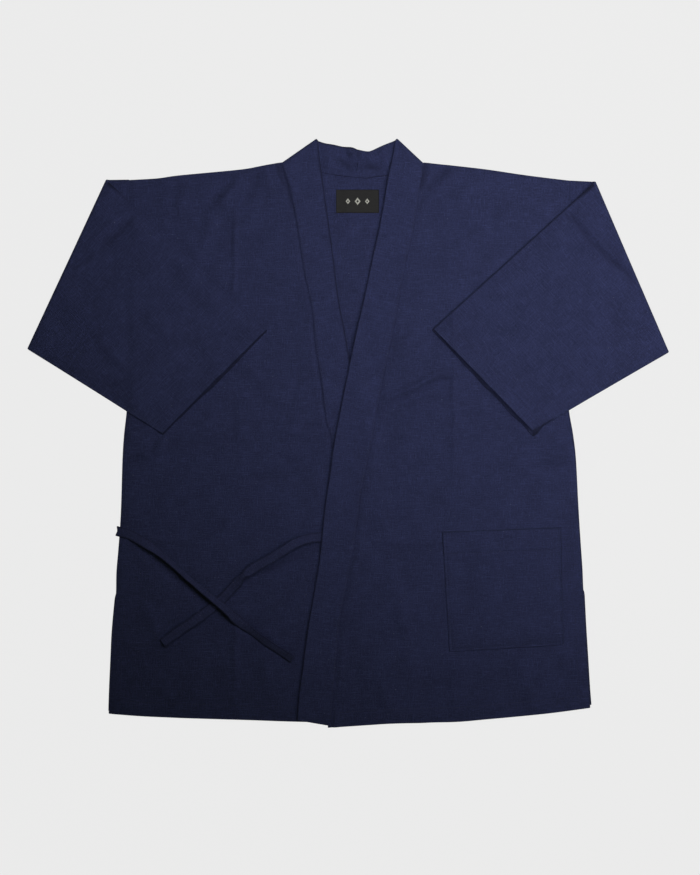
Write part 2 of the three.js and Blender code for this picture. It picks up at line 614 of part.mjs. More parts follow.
// The sleeve is a flattened tube that is turned over along a crease.
function sleeve(lay) {
  const v2 = ([x, y]) => new THREE.Vector2(x, y);
  const low = CLOTH / 2;
  const high = low + CLOTH + AIR;
  const edgeRadius = (high - low) / 2;
  const outerRadius = CREASE_AXIS_Z - low + CLOTH / 2;
  const creaseEnds = [v2(lay.creaseTop), v2(lay.creaseBottom)];
  const down = creaseEnds[1].clone().sub(creaseEnds[0]).normalize();
  const out = new THREE.Vector2(-down.y, down.x);
  if (out.x * lay.side < 0) out.negate();
  const [start, startLow] = creaseEnds.map((p) => p.clone().addScaledVector(out, -outerRadius));
  const arc = Math.PI * (CREASE_AXIS_Z - (low + high) / 2);
  const beyond = (p) => p.clone().sub(start).dot(out);
  const unfold = (p) => p.clone().addScaledVector(out, arc - 2 * beyond(p));
  const armholeX = (y) => sideX(lay.name, y) + lay.side * (RAW_EDGE + SEAM_GAP);
  const armhole = lay.armholeY.map((y) => new THREE.Vector2(armholeX(y), y));
  const cuff = [v2(lay.cuffTop), v2(lay.cuffBottom)].map(unfold);
  const crossing = (from, to, s) => {
    const t = (s - beyond(from)) / (beyond(to) - beyond(from));
    return from.clone().lerp(to, t);
  };
  const rows = [];
  const between = (a, b, steps, from) => {
    for (let k = from; k <= steps; k++)
      rows.push([a[0].clone().lerp(b[0], k / steps), a[1].clone().lerp(b[1], k / steps)]);
  };
  const turnStart = [start, startLow];
  const turned = (s) => [crossing(start, cuff[0], s), crossing(startLow, cuff[1], s)];
  between(armhole, turnStart, 4, 0);
  for (let k = 1; k <= TURN_STEPS; k++) rows.push(turned((arc * k) / TURN_STEPS));
  between(turned(arc), cuff, 8, 1);

  // Tops of what the turned part lies on, and the wedge beside the body where it lies on nothing.
  const settle = (p, s) => {
    const rest = 2 * (CREASE_AXIS_Z - high - CLOTH / 2) - TURNED_AIR;
    const settled = rest * smooth(s / CREASE_SETTLE);
    const outside = lay.side < 0 ? sideX("right", p.y) - p.x : p.x - sideX("left", p.y);
    const underarm = v2(lay.creaseBottom).sub(armhole[1]);
    const off = p.clone().sub(armhole[1]);
    const below = (lay.side * off.cross(underarm)) / underarm.length();
    const sunk = (high + CLOTH / 2) * (1 - overEdge(Math.min(outside, below), OFF_BODY));
    return settled + sunk - foldHeight(p.x, p.y);
  };
  const turnOver = (p, z) => {
    const s = beyond(p);
    if (s <= 0) return new THREE.Vector3(p.x, p.y, z);
    const radius = CREASE_AXIS_Z - z;
    if (s < arc) {
      const angle = (Math.PI * s) / arc;
      const q = p.clone().addScaledVector(out, radius * Math.sin(angle) - s);
      return new THREE.Vector3(q.x, q.y, CREASE_AXIS_Z - radius * Math.cos(angle));
    }
    const q = p.clone().addScaledVector(out, arc - 2 * s);
    return new THREE.Vector3(q.x, q.y, CREASE_AXIS_Z + radius - settle(q, s - arc));
  };

  const grid = rows.map(([top, under]) => {
    const direction = under.clone().sub(top).normalize();
    const ring = [];
    for (let k = 0; k <= SLEEVE_COLUMNS; k++) ring.push([k / SLEEVE_COLUMNS, 0, high]);
    for (const a of [45, 90, 135]) {
      const angle = THREE.MathUtils.degToRad(a);
      ring.push([1, edgeRadius * Math.sin(angle), low + edgeRadius * (1 + Math.cos(angle))]);
    }
    for (let k = SLEEVE_COLUMNS; k >= 0; k--) ring.push([k / SLEEVE_COLUMNS, 0, low]);
    for (const a of [135, 90, 45]) {
      const angle = THREE.MathUtils.degToRad(a);
      ring.push([0, -edgeRadius * Math.sin(angle), low + edgeRadius * (1 + Math.cos(angle))]);
    }
    return ring.map(([share, off, z]) =>
      turnOver(top.clone().lerp(under, share).addScaledVector(direction, off), z));
  });
  return clothWall(grid, { closed: true });
}

function pocket() {
  const lift = CLOTH + SEAM_GAP;
  const hemFoot = POCKET_HEIGHT - POCKET_HEM;
  const rows = [0, 40, 80, hemFoot - HEM_STEP, hemFoot, POCKET_HEIGHT];
  const hemRow = rows.indexOf(hemFoot);
  const columns = 7;
  const grid = rows.map((h) => {
    const v = h / POCKET_HEIGHT;
    const row = [];
    for (let k = 0; k <= columns; k++) {
      const u = k / columns;
      const corner = (i) => lerp(
        lerp(POCKET.footInner[i], POCKET.footOuter[i], u),
        lerp(POCKET.mouthInner[i], POCKET.mouthOuter[i], u), v);
      const [x, y] = [corner(0), corner(1)];
      const under = Math.max(leftFrontMid(x, y), leftFrontMid(x - POCKET_OVER_RISE, y));
      row.push(new THREE.Vector3(x, y, under + lift));
    }
    return row;
  });
  return clothWall(grid, { above: (i) => CLOTH / 2 + (i >= hemRow ? HEM_EXTRA : 0) });
}

function label() {
  const grid = [];
  for (const y of [LABEL.y0, (LABEL.y0 + LABEL.y1) / 2, LABEL.y1]) {
    const row = [];
    for (let k = 0; k <= 4; k++) {
      const x = lerp(LABEL.x0, LABEL.x1, k / 4);
      row.push(new THREE.Vector3(x, y, backMid(x, y) + CLOTH / 2 + SEAM_GAP + LABEL_THICK / 2));
    }
    grid.push(row);
  }
  return clothWall(grid, { above: LABEL_THICK / 2, below: LABEL_THICK / 2 });
}

// A flat strip along a table of bends. lead: points before the first row, with their own heights.
function tie(rows, lead) {
  const top = (x, y) => rightFrontMid(x, y) + CLOTH / 2;
  const standing = (tilt) => {
    const angle = THREE.MathUtils.degToRad(Math.abs(tilt));
    return (TIE_WIDTH / 2) * Math.sin(angle) + (TIE_THICK / 2) * Math.cos(angle);
  };
  const middle = rows.map((r) => new THREE.Vector3(
    r.x, r.y, top(r.x, r.y) + TIE_AIR + standing(r.tilt) + r.over));
  const start = lead.map((p) => new THREE.Vector3(...p));
  const path = new THREE.CatmullRomCurve3([...start, ...middle], false, "centripetal");
  const tilts = [...lead.map(() => rows[0].tilt), ...rows.map((r) => r.tilt)];
  const steps = 2 * (tilts.length - 1);
  const grid = [];
  for (let k = 0; k <= steps; k++) {
    const t = k / steps;
    const p = path.getPoint(t);
    const tangent = path.getTangent(t);
    const plan = new THREE.Vector3(tangent.y, -tangent.x, 0);
    if (plan.length() < 0.5) plan.set(0, 1, 0); // where the strip climbs the side seam
    plan.normalize();
    if (plan.y < 0) plan.negate();
    const at = t * (tilts.length - 1);
    const i = Math.min(Math.floor(at), tilts.length - 2);
    const tilt = THREE.MathUtils.degToRad(lerp(tilts[i], tilts[i + 1], smooth(at - i)));
    const across = plan.applyAxisAngle(tangent, tilt);
    grid.push([-0.5, 0, 0.5].map((w) => p.clone().addScaledVector(across, w * TIE_WIDTH)));
  }
  return clothWall(grid, { above: TIE_THICK / 2, below: TIE_THICK / 2 });
}

const cotton = (color) => new THREE.MeshStandardMaterial({ color, roughness: 0.9, metalness: 0 });
const NAVY = 0x23284a;
const NAVY_INSIDE = 0x1e2341;
const CHARCOAL = 0x3d3d3a;

const rightFront = {
  name: "right", side: -1, seam: rightSeam, hem: RIGHT_HEM, shoulder: RIGHT_SHOULDER, mid: rightFrontMid,
};
const leftFront = {
  name: "left", side: 1, seam: leftSeam, hem: LEFT_HEM, shoulder: LEFT_SHOULDER, mid: leftFrontMid,
};
const pieces = [
  { name: "back", geometry: back(), color: NAVY_INSIDE },
  { name: "front_right", geometry: front(rightFront), color: NAVY },
  { name: "front_left", geometry: front(leftFront), color: NAVY },
  { name: "collar_right", geometry: collarHalf(RIGHT_COLLAR, rightCollarMid), color: NAVY },
  { name: "collar_left", geometry: collarHalf(LEFT_COLLAR, leftCollarMid), color: NAVY },
  { name: "sleeve_right", geometry: sleeve(RIGHT_SLEEVE), color: NAVY },
  { name: "sleeve_left", geometry: sleeve(LEFT_SLEEVE), color: NAVY },
  { name: "pocket", geometry: pocket(), color: NAVY },
  { name: "label", geometry: label(), color: CHARCOAL },
  { name: "tie_front", geometry: tie(FRONT_TIE, []), color: NAVY },
  { name: "tie_side", geometry: tie(SIDE_TIE, SIDE_TIE_LEAD), color: NAVY },
];

const jacket = new THREE.Group();
for (const { name, geometry, color } of pieces) {
  const mesh = new THREE.Mesh(geometry, cotton(color));
  mesh.name = name;
  jacket.add(mesh);
}

export default jacket;
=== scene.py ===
# A samue jacket laid flat, front side up, with both sleeves turned in over the fronts.
# Its cloth, stitching and finish are made here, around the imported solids.
# Tables and sizes are in millimetres: X towards the wearer's left, Y towards the neck, Z up.
import math

import bmesh
import bpy
import numpy as np
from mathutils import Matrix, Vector


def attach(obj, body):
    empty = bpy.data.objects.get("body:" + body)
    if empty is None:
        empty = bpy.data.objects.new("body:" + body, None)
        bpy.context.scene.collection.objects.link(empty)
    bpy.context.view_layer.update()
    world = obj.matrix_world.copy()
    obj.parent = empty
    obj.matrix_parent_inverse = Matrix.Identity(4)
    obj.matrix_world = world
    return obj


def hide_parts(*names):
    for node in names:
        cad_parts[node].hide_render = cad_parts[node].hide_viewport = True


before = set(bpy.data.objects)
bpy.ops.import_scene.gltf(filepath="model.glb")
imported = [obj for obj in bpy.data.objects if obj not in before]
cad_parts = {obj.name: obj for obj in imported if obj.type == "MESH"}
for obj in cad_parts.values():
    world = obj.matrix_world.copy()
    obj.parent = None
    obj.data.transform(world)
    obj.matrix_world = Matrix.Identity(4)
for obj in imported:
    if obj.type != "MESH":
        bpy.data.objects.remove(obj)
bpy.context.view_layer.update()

MM = 0.001


def columns(names, *rows):
    """A small table: an array for each named column."""
    data = np.array(rows, float)
    return {name: data[:, i] for i, name in enumerate(names.split())}


# Cloth
THICK = 1.1  # wall of the cotton, with its nap
AIR = 0.4  # air between layers
COLLAR_THICK = 3.4
SLOT = 1.7  # opening in the collar's sewn edge that holds the panel
SLOT_DEPTH = 8.0
SEAM_REACH = 4.5  # how far a panel's edge reaches into the collar
NECK_LIFT = 16.0  # a panel rises to its collar over this distance
SEAM_SHADE = 0.14  # how much painted shade darkens a seam's valley
FREE_EDGE_SHADE = dict(right=3.2, left=1.3)  # how far the painted shade along a collar's free edge reaches
HELD = 12.0  # the seam holds a panel's creases flat over this distance
HEM = 20.0
HEM_RISE = 0.55
HEM_STITCH = 1.2  # a hem's stitches run this far inside its fold
POCKET_HEM = 30.0
POCKET_STITCH = 3.0
VENT_HEM = 14.0
BACK_MID = 0.6
SEAM_RISE = (COLLAR_THICK - THICK) / 2  # a panel's middle rises this far to the middle of its collar

# Body
SIDES_OF_BODY = dict(right=-1, left=1)
ARMPIT = 74.0
VENT_TOP = -238.0
BODY_TOP = 350.0
BODY_FOOT = -404.0
HEM_LEVEL = -400.0  # where the hem meets the side lines
PANEL_LENGTH = 742.0
FRONT_WIDTH = 330.0
BACK_WIDTH = 616.0
BACK_START = -306.5
BACK_SHORTER = 3.5  # the back's lower edge lies this far above the fronts' one
BACK_STEP = 4.4
FRONT_STEP = 3.3

# Side lines of the body, lower edges, shoulder lines
SIDES = columns(
    "y right left",
    (352, -307.4, 310), (300, -307.4, 309.4), (200, -307.4, 308.4), (78, -308, 307.6), (27, -309.6, 308.8),
    (-12, -313.6, 314.9), (-48, -315.8, 319), (-110, -317.6, 322.2), (-146, -319.4, 324.2),
    (-180, -322, 326.4), (-207, -324.2, 328.2), (-236, -324.8, 329.4), (-244, -326, 330.6),
    (-291, -330.2, 333), (-334, -332.2, 335.6), (-375, -334, 338), (-405, -334.9, 340.2),
)
RIGHT_HEM = columns(
    "x y",
    (-340, -393), (-281, -397.2), (-214, -400), (-147, -402), (-74, -404.4), (0, -405.8), (60, -405.8),
)
LEFT_HEM = columns(
    "x y",
    (-27, -412.6), (17, -409.6), (59, -406.8), (115, -405.6), (154, -404.6), (188, -401.6), (227, -398.2),
    (283, -392.6), (345, -384.4),
)
RIGHT_SHOULDER = columns(
    "x y",
    (-310, 352), (-268, 354.4), (-237, 358.6), (-173, 364.6), (-142, 368), (-118, 372.6), (-92, 376.6),
)
LEFT_SHOULDER = columns(
    "x y",
    (106, 376.2), (126, 374.4), (147, 372.4), (195, 366.8), (242, 359.8), (276, 355.4), (313, 351),
)

# Collar: folded free edge and sewn edge, from the middle of the neck round and down to the hem
RIGHT_NECK = columns(
    "free_x free_y sewn_x sewn_y",
    (12.7, 395.5, 12.7, 355.5), (5.7, 398.4, 2, 356.6), (-7.8, 399.4, -14, 358.4),
    (-21.4, 402.6, -42, 363.6), (-33.3, 405.4, -68, 368.4), (-43, 409, -93.2, 374),
)
RIGHT_COLLAR = columns(
    "free_x free_y sewn_x sewn_y",
    (-43, 409, -93.2, 374), (-41.8, 398, -90.4, 365), (-39.8, 384, -86.4, 354), (-35.2, 351, -77.8, 322),
    (-28.4, 302, -69.4, 276), (-21.6, 254, -61.4, 223), (-13.6, 190, -50.6, 171), (-4, 138, -46.4, 125),
    (2.8, 99, -38.2, 73), (9.6, 56, -30.4, 14), (22.4, -18, -21.6, -18.6), (56, -210, 12.7, -214),
    (90, -402, 45.6, -404.6),
)
LEFT_NECK = columns(
    "free_x free_y sewn_x sewn_y",
    (12.5, 395.5, 12.5, 355.5), (26, 392.8, 26, 354.4), (32.9, 393.8, 38, 356.4), (46.5, 400.2, 64, 360),
    (56.6, 404.8, 84, 366), (67.4, 409.4, 106.6, 372.6),
)
LEFT_COLLAR = columns(
    "free_x free_y sewn_x sewn_y",
    (67.4, 409.4, 106.6, 372.6), (63, 388, 104.6, 360), (56.6, 360.6, 99, 328), (45.2, 295, 91, 276),
    (35.4, 249, 81.2, 237), (24.4, 197, 74.6, 197.6), (12.6, 144.6, 64.8, 144.6), (2.8, 99, 55, 99.4),
    (-5.2, 59.8, 47.2, 60.2), (-15.6, 7.4, 38.8, 14), (-22.2, -31.8, 29, -37.8), (-25.2, -57.4, 19.2, -84),
    (-32.2, -103.6, 12.6, -135.8), (-39.6, -175, 6, -175), (-48.2, -227.8, -3.8, -227.8),
    (-56, -273, -11.6, -273), (-63.8, -331.8, -16.8, -331.8), (-69, -371.4, -20, -371.4),
    (-71, -402.4, -23.4, -410.6),
)

# Sleeves as they lie. over_cuff: how far the lower layer of the cuff shows past the upper one
# edge_shade, low_edge_shade and inside_shade: painted shade along the top edge, along the underarm edge
# over the body, and inside the cuff
SLEEVES = {
    "right": dict(
        armhole_y=(351.8, 78.4), crease_top=(-338, 353.4), crease_bottom=(-447.6, 118),
        cuff_top=(-114.8, 142.8), cuff_bottom=(-259, -1.2), over_cuff=4.6, lift=6.4, lift_at=0.44,
        lift_wide=0.3, pinch=0.3, edge_shade=0.1, low_edge_shade=0, inside_shade=0.85, corner_peek=0,
    ),
    "left": dict(
        armhole_y=(350.6, 74.6), crease_top=(345.8, 350.8), crease_bottom=(448, 113.4),
        cuff_top=(120, 143.6), cuff_bottom=(257.6, 1.8), over_cuff=5, lift=7.6, lift_at=0.6,
        lift_wide=0.55, pinch=0.9, edge_shade=0.7, low_edge_shade=0.8, inside_shade=0.6, corner_peek=6,
    ),
}
LAYER_LOW, LAYER_HIGH = 0.6, 2.2  # heights of the two layers of a flat sleeve
CREASE_AXIS = 4.5  # height of the line that a sleeve turns over
SLEEVE_SETTLE = 34.0  # past that line it comes down to rest over this distance
CUFF_HEM = 22.0
WIDEST_CUFF = 280.0
SLEEVE_STEP = 3.6
BODY_REACH = 305.0  # a turned sleeve rests on its front as far out as this
SURFACE_GAP = 0.2

# Pocket corners, label, ties
POCKET = dict(
    mouth_in=(132.4, -140.2), mouth_out=(297, -134), foot_in=(142.2, -306.8), foot_out=(301, -297),
)
POCKET_WIDTH, POCKET_HEIGHT = 165.0, 166.0
POCKET_GAP = 0.25
POCKET_STEP = 2.6
LABEL = dict(x0=-16.4, x1=43.2, y0=306.6, y1=338.8, thick=0.6)
TIE_WIDTH = 14.0
TIE_THICK = 1.7
TIE_GAP = 0.35
TIE_GATHER = 0.36
# Painted shade along a tie's edges
TIE_EDGE_SHADE = 0.6
FRONT_TIE = columns(
    "x y over tilt",
    (-22, -146, 0.2, 0), (-40, -147, 1.2, 0), (-58, -149.4, 3.4, 2), (-75, -155.8, 5, 4),
    (-90, -165.2, 5.2, 5), (-108, -176.7, 4.4, 5), (-127, -187.2, 3.4, 8), (-140, -195.4, 3, 16),
    (-147, -201.4, 2.2, 36), (-154, -209.6, 1.4, 12), (-167, -224.2, 0.6, 4), (-182, -239, 0, 0),
    (-200, -253, 0.6, 3), (-217, -265.4, 1.8, 4), (-234, -276.6, 2.2, 4), (-248, -286.6, 1.8, 6),
    (-258.6, -294.6, 1, 10),
)
SIDE_TIE = columns(
    "x y over tilt",
    (-306, -143, 0.5, 0), (-284, -154.6, 0.6, -12), (-267, -166.4, 0.5, -28), (-244, -185.6, 0.4, -38),
    (-219, -207.6, 1.8, -36), (-197, -226, 3, -34), (-178, -240.8, 3.4, -28), (-163, -254.4, 2.4, -24),
    (-150, -266.6, 1.2, 6), (-133, -279.8, 0.6, 26), (-111, -295.4, 0.4, 26), (-94, -306.4, 0.4, 26),
    (-77.5, -317, 0.4, 22),
)
SIDE_TIE_START = [(-320.6, -138.6, 1.4), (-322, -138.8, 3.2), (-318, -139.8, 5)]
TIE_BUMP = dict(x=-30, y=-147, rise=1.7, stay=10, down=16)

# Creases of the fronts: from, to, rise over the cloth round it (a trough is negative), half width,
# and how far the middle bows to the left of the way it runs
CREASES = columns(
    "x0 y0 x1 y1 rise wide bow",
    # storage folds along the body
    (-158, 315, -160, 186, 0.7, 5, 1), (-156, -252, -158, -386, 0.8, 5, -1),
    (146, 186, 148, -76, 0.75, 5, 2), (-160, 60, -159, -30, -0.4, 7, 0), (147, -330, 149, -392, 0.5, 5, 0),
    # storage folds across it
    (138, 24, 214, 25, -0.9, 4, 1), (-158, 22, -40, 18, 0.6, 6, -2), (-250, -26, -150, -10, -0.6, 8, 3),
    (-300, -152, -205, -154, 0.5, 7, 1), (40, -152, 150, -156, 0.5, 6, -1),
    (-150, -66, -58, -62, -0.5, 8, 1),
    # drag lines at the sides, under the sleeves
    (312, -22, 272, -34, 1.5, 8, 2), (276, -34, 214, -47, 1, 9, 2), (310, -40, 268, -50, -1.1, 6, 2),
    (-294, -36, -254, -9, 1.4, 8, -3), (-312, -44, -266, -16, -1.2, 7, -3),
    (-309, -10, -270, 12, 0.8, 9, -2), (240, -8, 300, 4, 0.9, 10, -4), (196, 14, 262, 2, 0.7, 9, 3),
    # from the lap towards the cuffs
    (38, 38, 92, 62, 1.4, 6, 3), (86, 58, 146, 84, 1.5, 6, 4), (92, 52, 150, 78, -1.1, 5, 4),
    (44, 34, 98, 56, -0.9, 5, 3), (52, 22, 120, 48, -0.6, 6, 3),
    # small ones beside the lap
    (-14, 6, 40, 0, -0.9, 3, 1), (0, -12, 38, -15, -0.8, 3, 0), (-12, -22, 26, -24, 0.9, 4, 1),
    (44, -6, 84, -12, -0.6, 4, 1), (-64, 16, -30, 6, -0.8, 4, -1), (-88, 0, -44, -8, 0.8, 5, 1),
    (-120, 62, -62, 34, 0.4, 10, -3), (-150, 96, -92, 60, 0.35, 11, -3), (-64, 96, -86, 30, -0.5, 6, 2),
    (60, 104, 96, 150, 0.8, 12, -3),
    # shoulders and neck
    (-150, 362, -186, 312, 1.7, 12, 5), (-186, 312, -206, 262, 0.9, 12, 2),
    (-128, 366, -140, 322, -0.8, 8, 2), (-108, 392, -86, 343, -3.4, 4.5, 1),
    (-88, 358, -78, 308, -2.6, 4, 0), (112, 394, 102, 336, -3.2, 4, 0), (-118, 372, -106, 330, 0.6, 7, 1),
    (147, 372, 118, 352, -0.9, 6, -2), (118, 352, 100, 312, -0.8, 6, -2), (158, 368, 124, 338, 0.9, 8, -3),
    (180, 360, 150, 300, 0.6, 14, -4), (232, 350, 214, 280, 0.7, 16, -3),
    (-232, 346, -240, 300, 0.9, 14, 3),
    # hollows beside the ties
    (-283, -168, -192, -240, -1.2, 9, 0), (-126, -201, -52, -161, -1.1, 6, 0),
    (-152, -268, -84, -316, -0.6, 7, 0),
    # lower body
    (-292, -232, -262, -300, 0.6, 12, 3), (-120, -310, -96, -384, 0.5, 14, -2),
    (66, -226, 94, -322, 0.5, 14, 3), (244, -328, 262, -388, 0.6, 12, -2),
    (318, -250, 300, -330, 0.6, 10, 2), (36, -330, 60, -396, 0.5, 12, 2),
)
# Creases of the sleeves' upper layer, in the same columns
SLEEVE_CREASES = columns(
    "x0 y0 x1 y1 rise wide bow",
    (-292, 310, -354, 252, -0.8, 5, 2), (-354, 252, -392, 222, -0.7, 6, -1),
    (-300, 322, -362, 264, 0.7, 7, 2), (304, 311, 360, 244, -1.8, 4.5, -1),
    (356, 248, 400, 209, -1.6, 4.5, 2), (309, 317, 366, 251, 1.2, 6, -1), (362, 255, 404, 217, 1, 6, 2),
    (-300, 180, -240, 120, 0.5, 14, 3), (-236, 232, -176, 170, 0.5, 14, -3),
    (-352, 130, -300, 80, 0.6, 12, 3), (236, 226, 188, 172, 0.5, 14, 3), (296, 120, 336, 66, 0.7, 12, -3),
    (362, 196, 388, 130, -0.5, 12, 3), (210, 84, 252, 46, 0.6, 9, 2), (-216, 60, -262, 26, 0.5, 9, 2),
    (262, 30, 292, 52, 0.9, 6, -2),
)
# Creases of the collar band behind the neck, in the same columns
NECK_CREASES = columns(
    "x0 y0 x1 y1 rise wide bow",
    (1, 397, 14, 366, 1.8, 4.5, 2), (16, 396, 7, 366, -1.8, 5, 0), (-30, 394, -20, 366, 0.7, 6, 0),
    (-16, 384, 4, 368, -1.5, 5, 1), (44, 396, 54, 372, 0.8, 6, 1), (24, 384, 46, 364, -1.3, 6, -2),
    (-44, 376, -8, 366, -0.9, 5, -1), (8, 372, 60, 368, -0.8, 5, 1),
)
CREASE_DEPTH = dict(front=3.8, sleeve=3.5, back=2.6, neck=3.8)
CREASE_WIDTH = 0.7
# Painted shade in the creases' troughs
CREASE_SHADE = 0.24
# Creases of the back: its inside shows in the neck, its outside from below
BACK_CREASES = columns(
    "x0 y0 x1 y1 rise wide bow",
    (-28, 352, 8, 346, 0.9, 5, 2), (20, 350, 66, 354, 0.7, 5, -1), (-4, 344, 4, 250, 0.4, 10, 2),
    (30, 296, 14, 190, 0.5, 12, 3), (-30, 300, -8, 220, 0.4, 10, -2),
)


# Smooth curves through tables
def flow(table, *names, per_span=14):
    """A smooth curve through a table's rows: points of the named columns, closely spaced."""
    p = np.stack([table[n] for n in names], 1)
    ends = np.vstack([2 * p[0] - p[1], p, 2 * p[-1] - p[-2]])
    t = np.linspace(0, 1, per_span, endpoint=False)[:, None]
    spans = []
    for a, b, c, d in zip(ends, ends[1:], ends[2:], ends[3:]):
        cubic = (3 * b - 3 * c + d - a) * t**3
        spans.append((2 * b + (c - a) * t + (2 * a - 5 * b + 4 * c - d) * t**2 + cubic) / 2)
    return np.vstack(spans + [p[-1:]])


def read(curve, at, key=0, value=1):
    """A curve's value where its key has the given value."""
    order = np.argsort(curve[:, key])
    return np.interp(at, curve[order, key], curve[order, value])


def run_along(points):
    """How far along a line each of its points is."""
    return np.concatenate([[0], np.cumsum(np.linalg.norm(np.diff(points, axis=0), axis=1))])


def even(curve, step):
    """The curve's points again, evenly spaced by its first two values."""
    run = run_along(curve[:, :2])
    count = max(2, round(run[-1] / step) + 1)
    at = np.linspace(0, run[-1], count)
    return np.stack([np.interp(at, run, curve[:, k]) for k in range(curve.shape[1])], 1)


def smooth(t):
    t = np.clip(t, 0, 1)
    return t * t * (3 - 2 * t)


def over_edge(distance, stay, down):
    """1 up to some way past an edge, 0 well away from it."""
    return 1 - smooth((distance - stay) / down)


def lerp(a, b, t):
    return a + (b - a) * t


def above_zero(value, sharp=2.2):
    """The value itself where it is well above zero, and softly zero below it."""
    return np.log1p(np.exp(np.clip(sharp * value, -30, 30))) / sharp


def from_line(x, y, line):
    """Distance of points from a line of points, and how far along it the nearest place is."""
    best = np.full(np.shape(x), 1e9)
    place = np.zeros(np.shape(x))
    run = 0.0
    for (ax, ay), (bx, by) in zip(line[:-1, :2], line[1:, :2]):
        dx, dy = bx - ax, by - ay
        length = math.hypot(dx, dy)
        t = np.clip(((x - ax) * dx + (y - ay) * dy) / length**2, 0, 1)
        away = np.hypot(x - ax - t * dx, y - ay - t * dy)
        near = away < best
        best = np.where(near, away, best)
        place = np.where(near, run + t * length, place)
        run += length
    return best, place


# Even, repeatable unevenness
WAVE_GRID = 64


class Waves:
    """Smooth noise between -1 and 1 from a seeded grid of values."""

    def __init__(self, seed):
        self.values = np.random.default_rng(seed).uniform(-1, 1, (WAVE_GRID, WAVE_GRID))

    def value(self, column, row):
        return self.values[column % WAVE_GRID, row % WAVE_GRID]

    def __call__(self, x, y, size_x, size_y=None):
        gx, gy = np.asarray(x) / size_x + 500.3, np.asarray(y) / (size_y or size_x) + 500.7
        ix, iy = np.floor(gx).astype(int), np.floor(gy).astype(int)
        fx, fy = smooth(gx - ix), smooth(gy - iy)
        low, high = (
            lerp(self.value(ix, row), self.value(ix + 1, row), fx)
            for row in (iy, iy + 1)
        )
        return lerp(low, high, fy)


broad = Waves(11)
fine = Waves(23)
thread = Waves(37)


def crease_height(x, y, table):
    """Height that a table of creases adds, each with soft ends and an uneven line."""
    height = np.zeros(np.shape(x))
    for x0, y0, x1, y1, rise, wide, bow in zip(*table.values()):
        dx, dy = x1 - x0, y1 - y0
        length = math.hypot(dx, dy)
        along = ((x - x0) * dx + (y - y0) * dy) / length
        across = ((y - y0) * dx - (x - x0) * dy) / length
        t = along / length
        across = across - bow * 4 * t * (1 - t) - 2.2 * fine(along, t * 0 + x0, 22)
        ends = smooth((t + 0.12) / 0.4) * smooth((1.12 - t) / 0.4)
        uneven = 1 + 0.4 * fine(along + y0, t * 0 + y1, 34)
        height += rise * uneven * ends * np.exp(-((across / (CREASE_WIDTH * wide)) ** 2))
    return height


def crease_shade(x, y, table):
    """How much painted shade darkens the cloth along the troughs of a table's creases."""
    return CREASE_SHADE * np.clip(-crease_height(x, y, table), 0, 1.6)


side_line = {name: flow(SIDES, "y", name) for name in ("right", "left")}
hem_line = {"right": flow(RIGHT_HEM, "x", "y"), "left": flow(LEFT_HEM, "x", "y")}
shoulder_line = {"right": flow(RIGHT_SHOULDER, "x", "y"), "left": flow(LEFT_SHOULDER, "x", "y")}
collar_table = {"right": RIGHT_COLLAR, "left": LEFT_COLLAR}
neck_table = {"right": RIGHT_NECK, "left": LEFT_NECK}
free_line = {name: flow(t, "free_x", "free_y") for name, t in collar_table.items()}
sewn_line = {name: flow(t, "sewn_x", "sewn_y") for name, t in collar_table.items()}
neck_seam = np.vstack([flow(RIGHT_NECK, "sewn_x", "sewn_y")[::-1], flow(LEFT_NECK, "sewn_x", "sewn_y")[1:]])
coarse_neck_seam = even(neck_seam, 12)
coarse_sewn = {name: even(line, 24) for name, line in sewn_line.items()}


def side_x(name, y):
    return read(side_line[name], y)


def both(lines, x):
    """The right or the left line's height, by the side of the body that each point is on."""
    return np.where(x < 0, read(lines["right"], x), read(lines["left"], x))


def inside_body(x, y):
    """Distance inwards from the nearer side line."""
    return np.minimum(x - side_x("right", y), side_x("left", y) - x)


def side_closed(y):
    """1 where the side seam is sewn up, between the armpit and the vent."""
    return smooth((ARMPIT - y) / 10) * smooth((y - VENT_TOP) / 10)


# Heights of the layers, from the surface up
def above_neck(x, y):
    inside = (x > neck_seam[0, 0]) & (x < neck_seam[-1, 0])
    return inside & (y > read(neck_seam, x))


def neck_distance(x, y):
    return from_line(x, y, coarse_neck_seam)[0]


def back_mid(x, y):
    away = np.where(above_neck(x, y), 0, neck_distance(x, y))
    lift = SEAM_RISE * (1 - smooth(away / NECK_LIFT))
    # Only the part in the neck's opening is loose; the rest is held flat by what lies on it.
    loose = smooth((y - 130) / 80) * smooth((away - 4) / 14) * (np.abs(x - 8) < 110)
    relief = 0.25 + CREASE_DEPTH["back"] * crease_height(x, y, BACK_CREASES) + 0.3 * broad(x, y, 38)
    return BACK_MID + lift + loose * np.maximum(relief, 0)


def back_top(x, y):
    on_collar = np.where(above_neck(x, y), 1.0, over_edge(neck_distance(x, y), 6, 24))
    return lerp(back_mid(x, y) + THICK / 2, COLLAR_THICK + 0.2, on_collar)


def front_relief(x, y):
    """How far a front stands above what it lies on: soft waves, with the creases in them."""
    below_shoulder = both(shoulder_line, x) - y
    soft = 1.9 + 1.0 * broad(x, y, 92, 120) + 0.6 * fine(x, y, 31, 37) + 0.22 * thread(x, y, 13)
    height = above_zero(soft + CREASE_DEPTH["front"] * crease_height(x, y, CREASES))
    return height * smooth((inside_body(x, y) + 3) / 14) * smooth((below_shoulder + 3) / 10)


def seam_lift(x, y, name):
    away, place = from_line(x, y, coarse_sewn[name])
    pucker = 0.4 * thread(place, place * 0, 7) * np.exp(-away / 9) * smooth((away - 2) / 3)
    pressed = 0.55 * np.exp(-(((away - 6.5) / 2.6) ** 2)) - 0.4 * np.exp(-(((away - 2) / 1.5) ** 2))
    return SEAM_RISE * (1 - smooth(away / NECK_LIFT)) + pucker + pressed


def collar_relief(x, y):
    return 0.35 * front_relief(x, y) + 0.22 * fine(x, y, 23) + 0.12


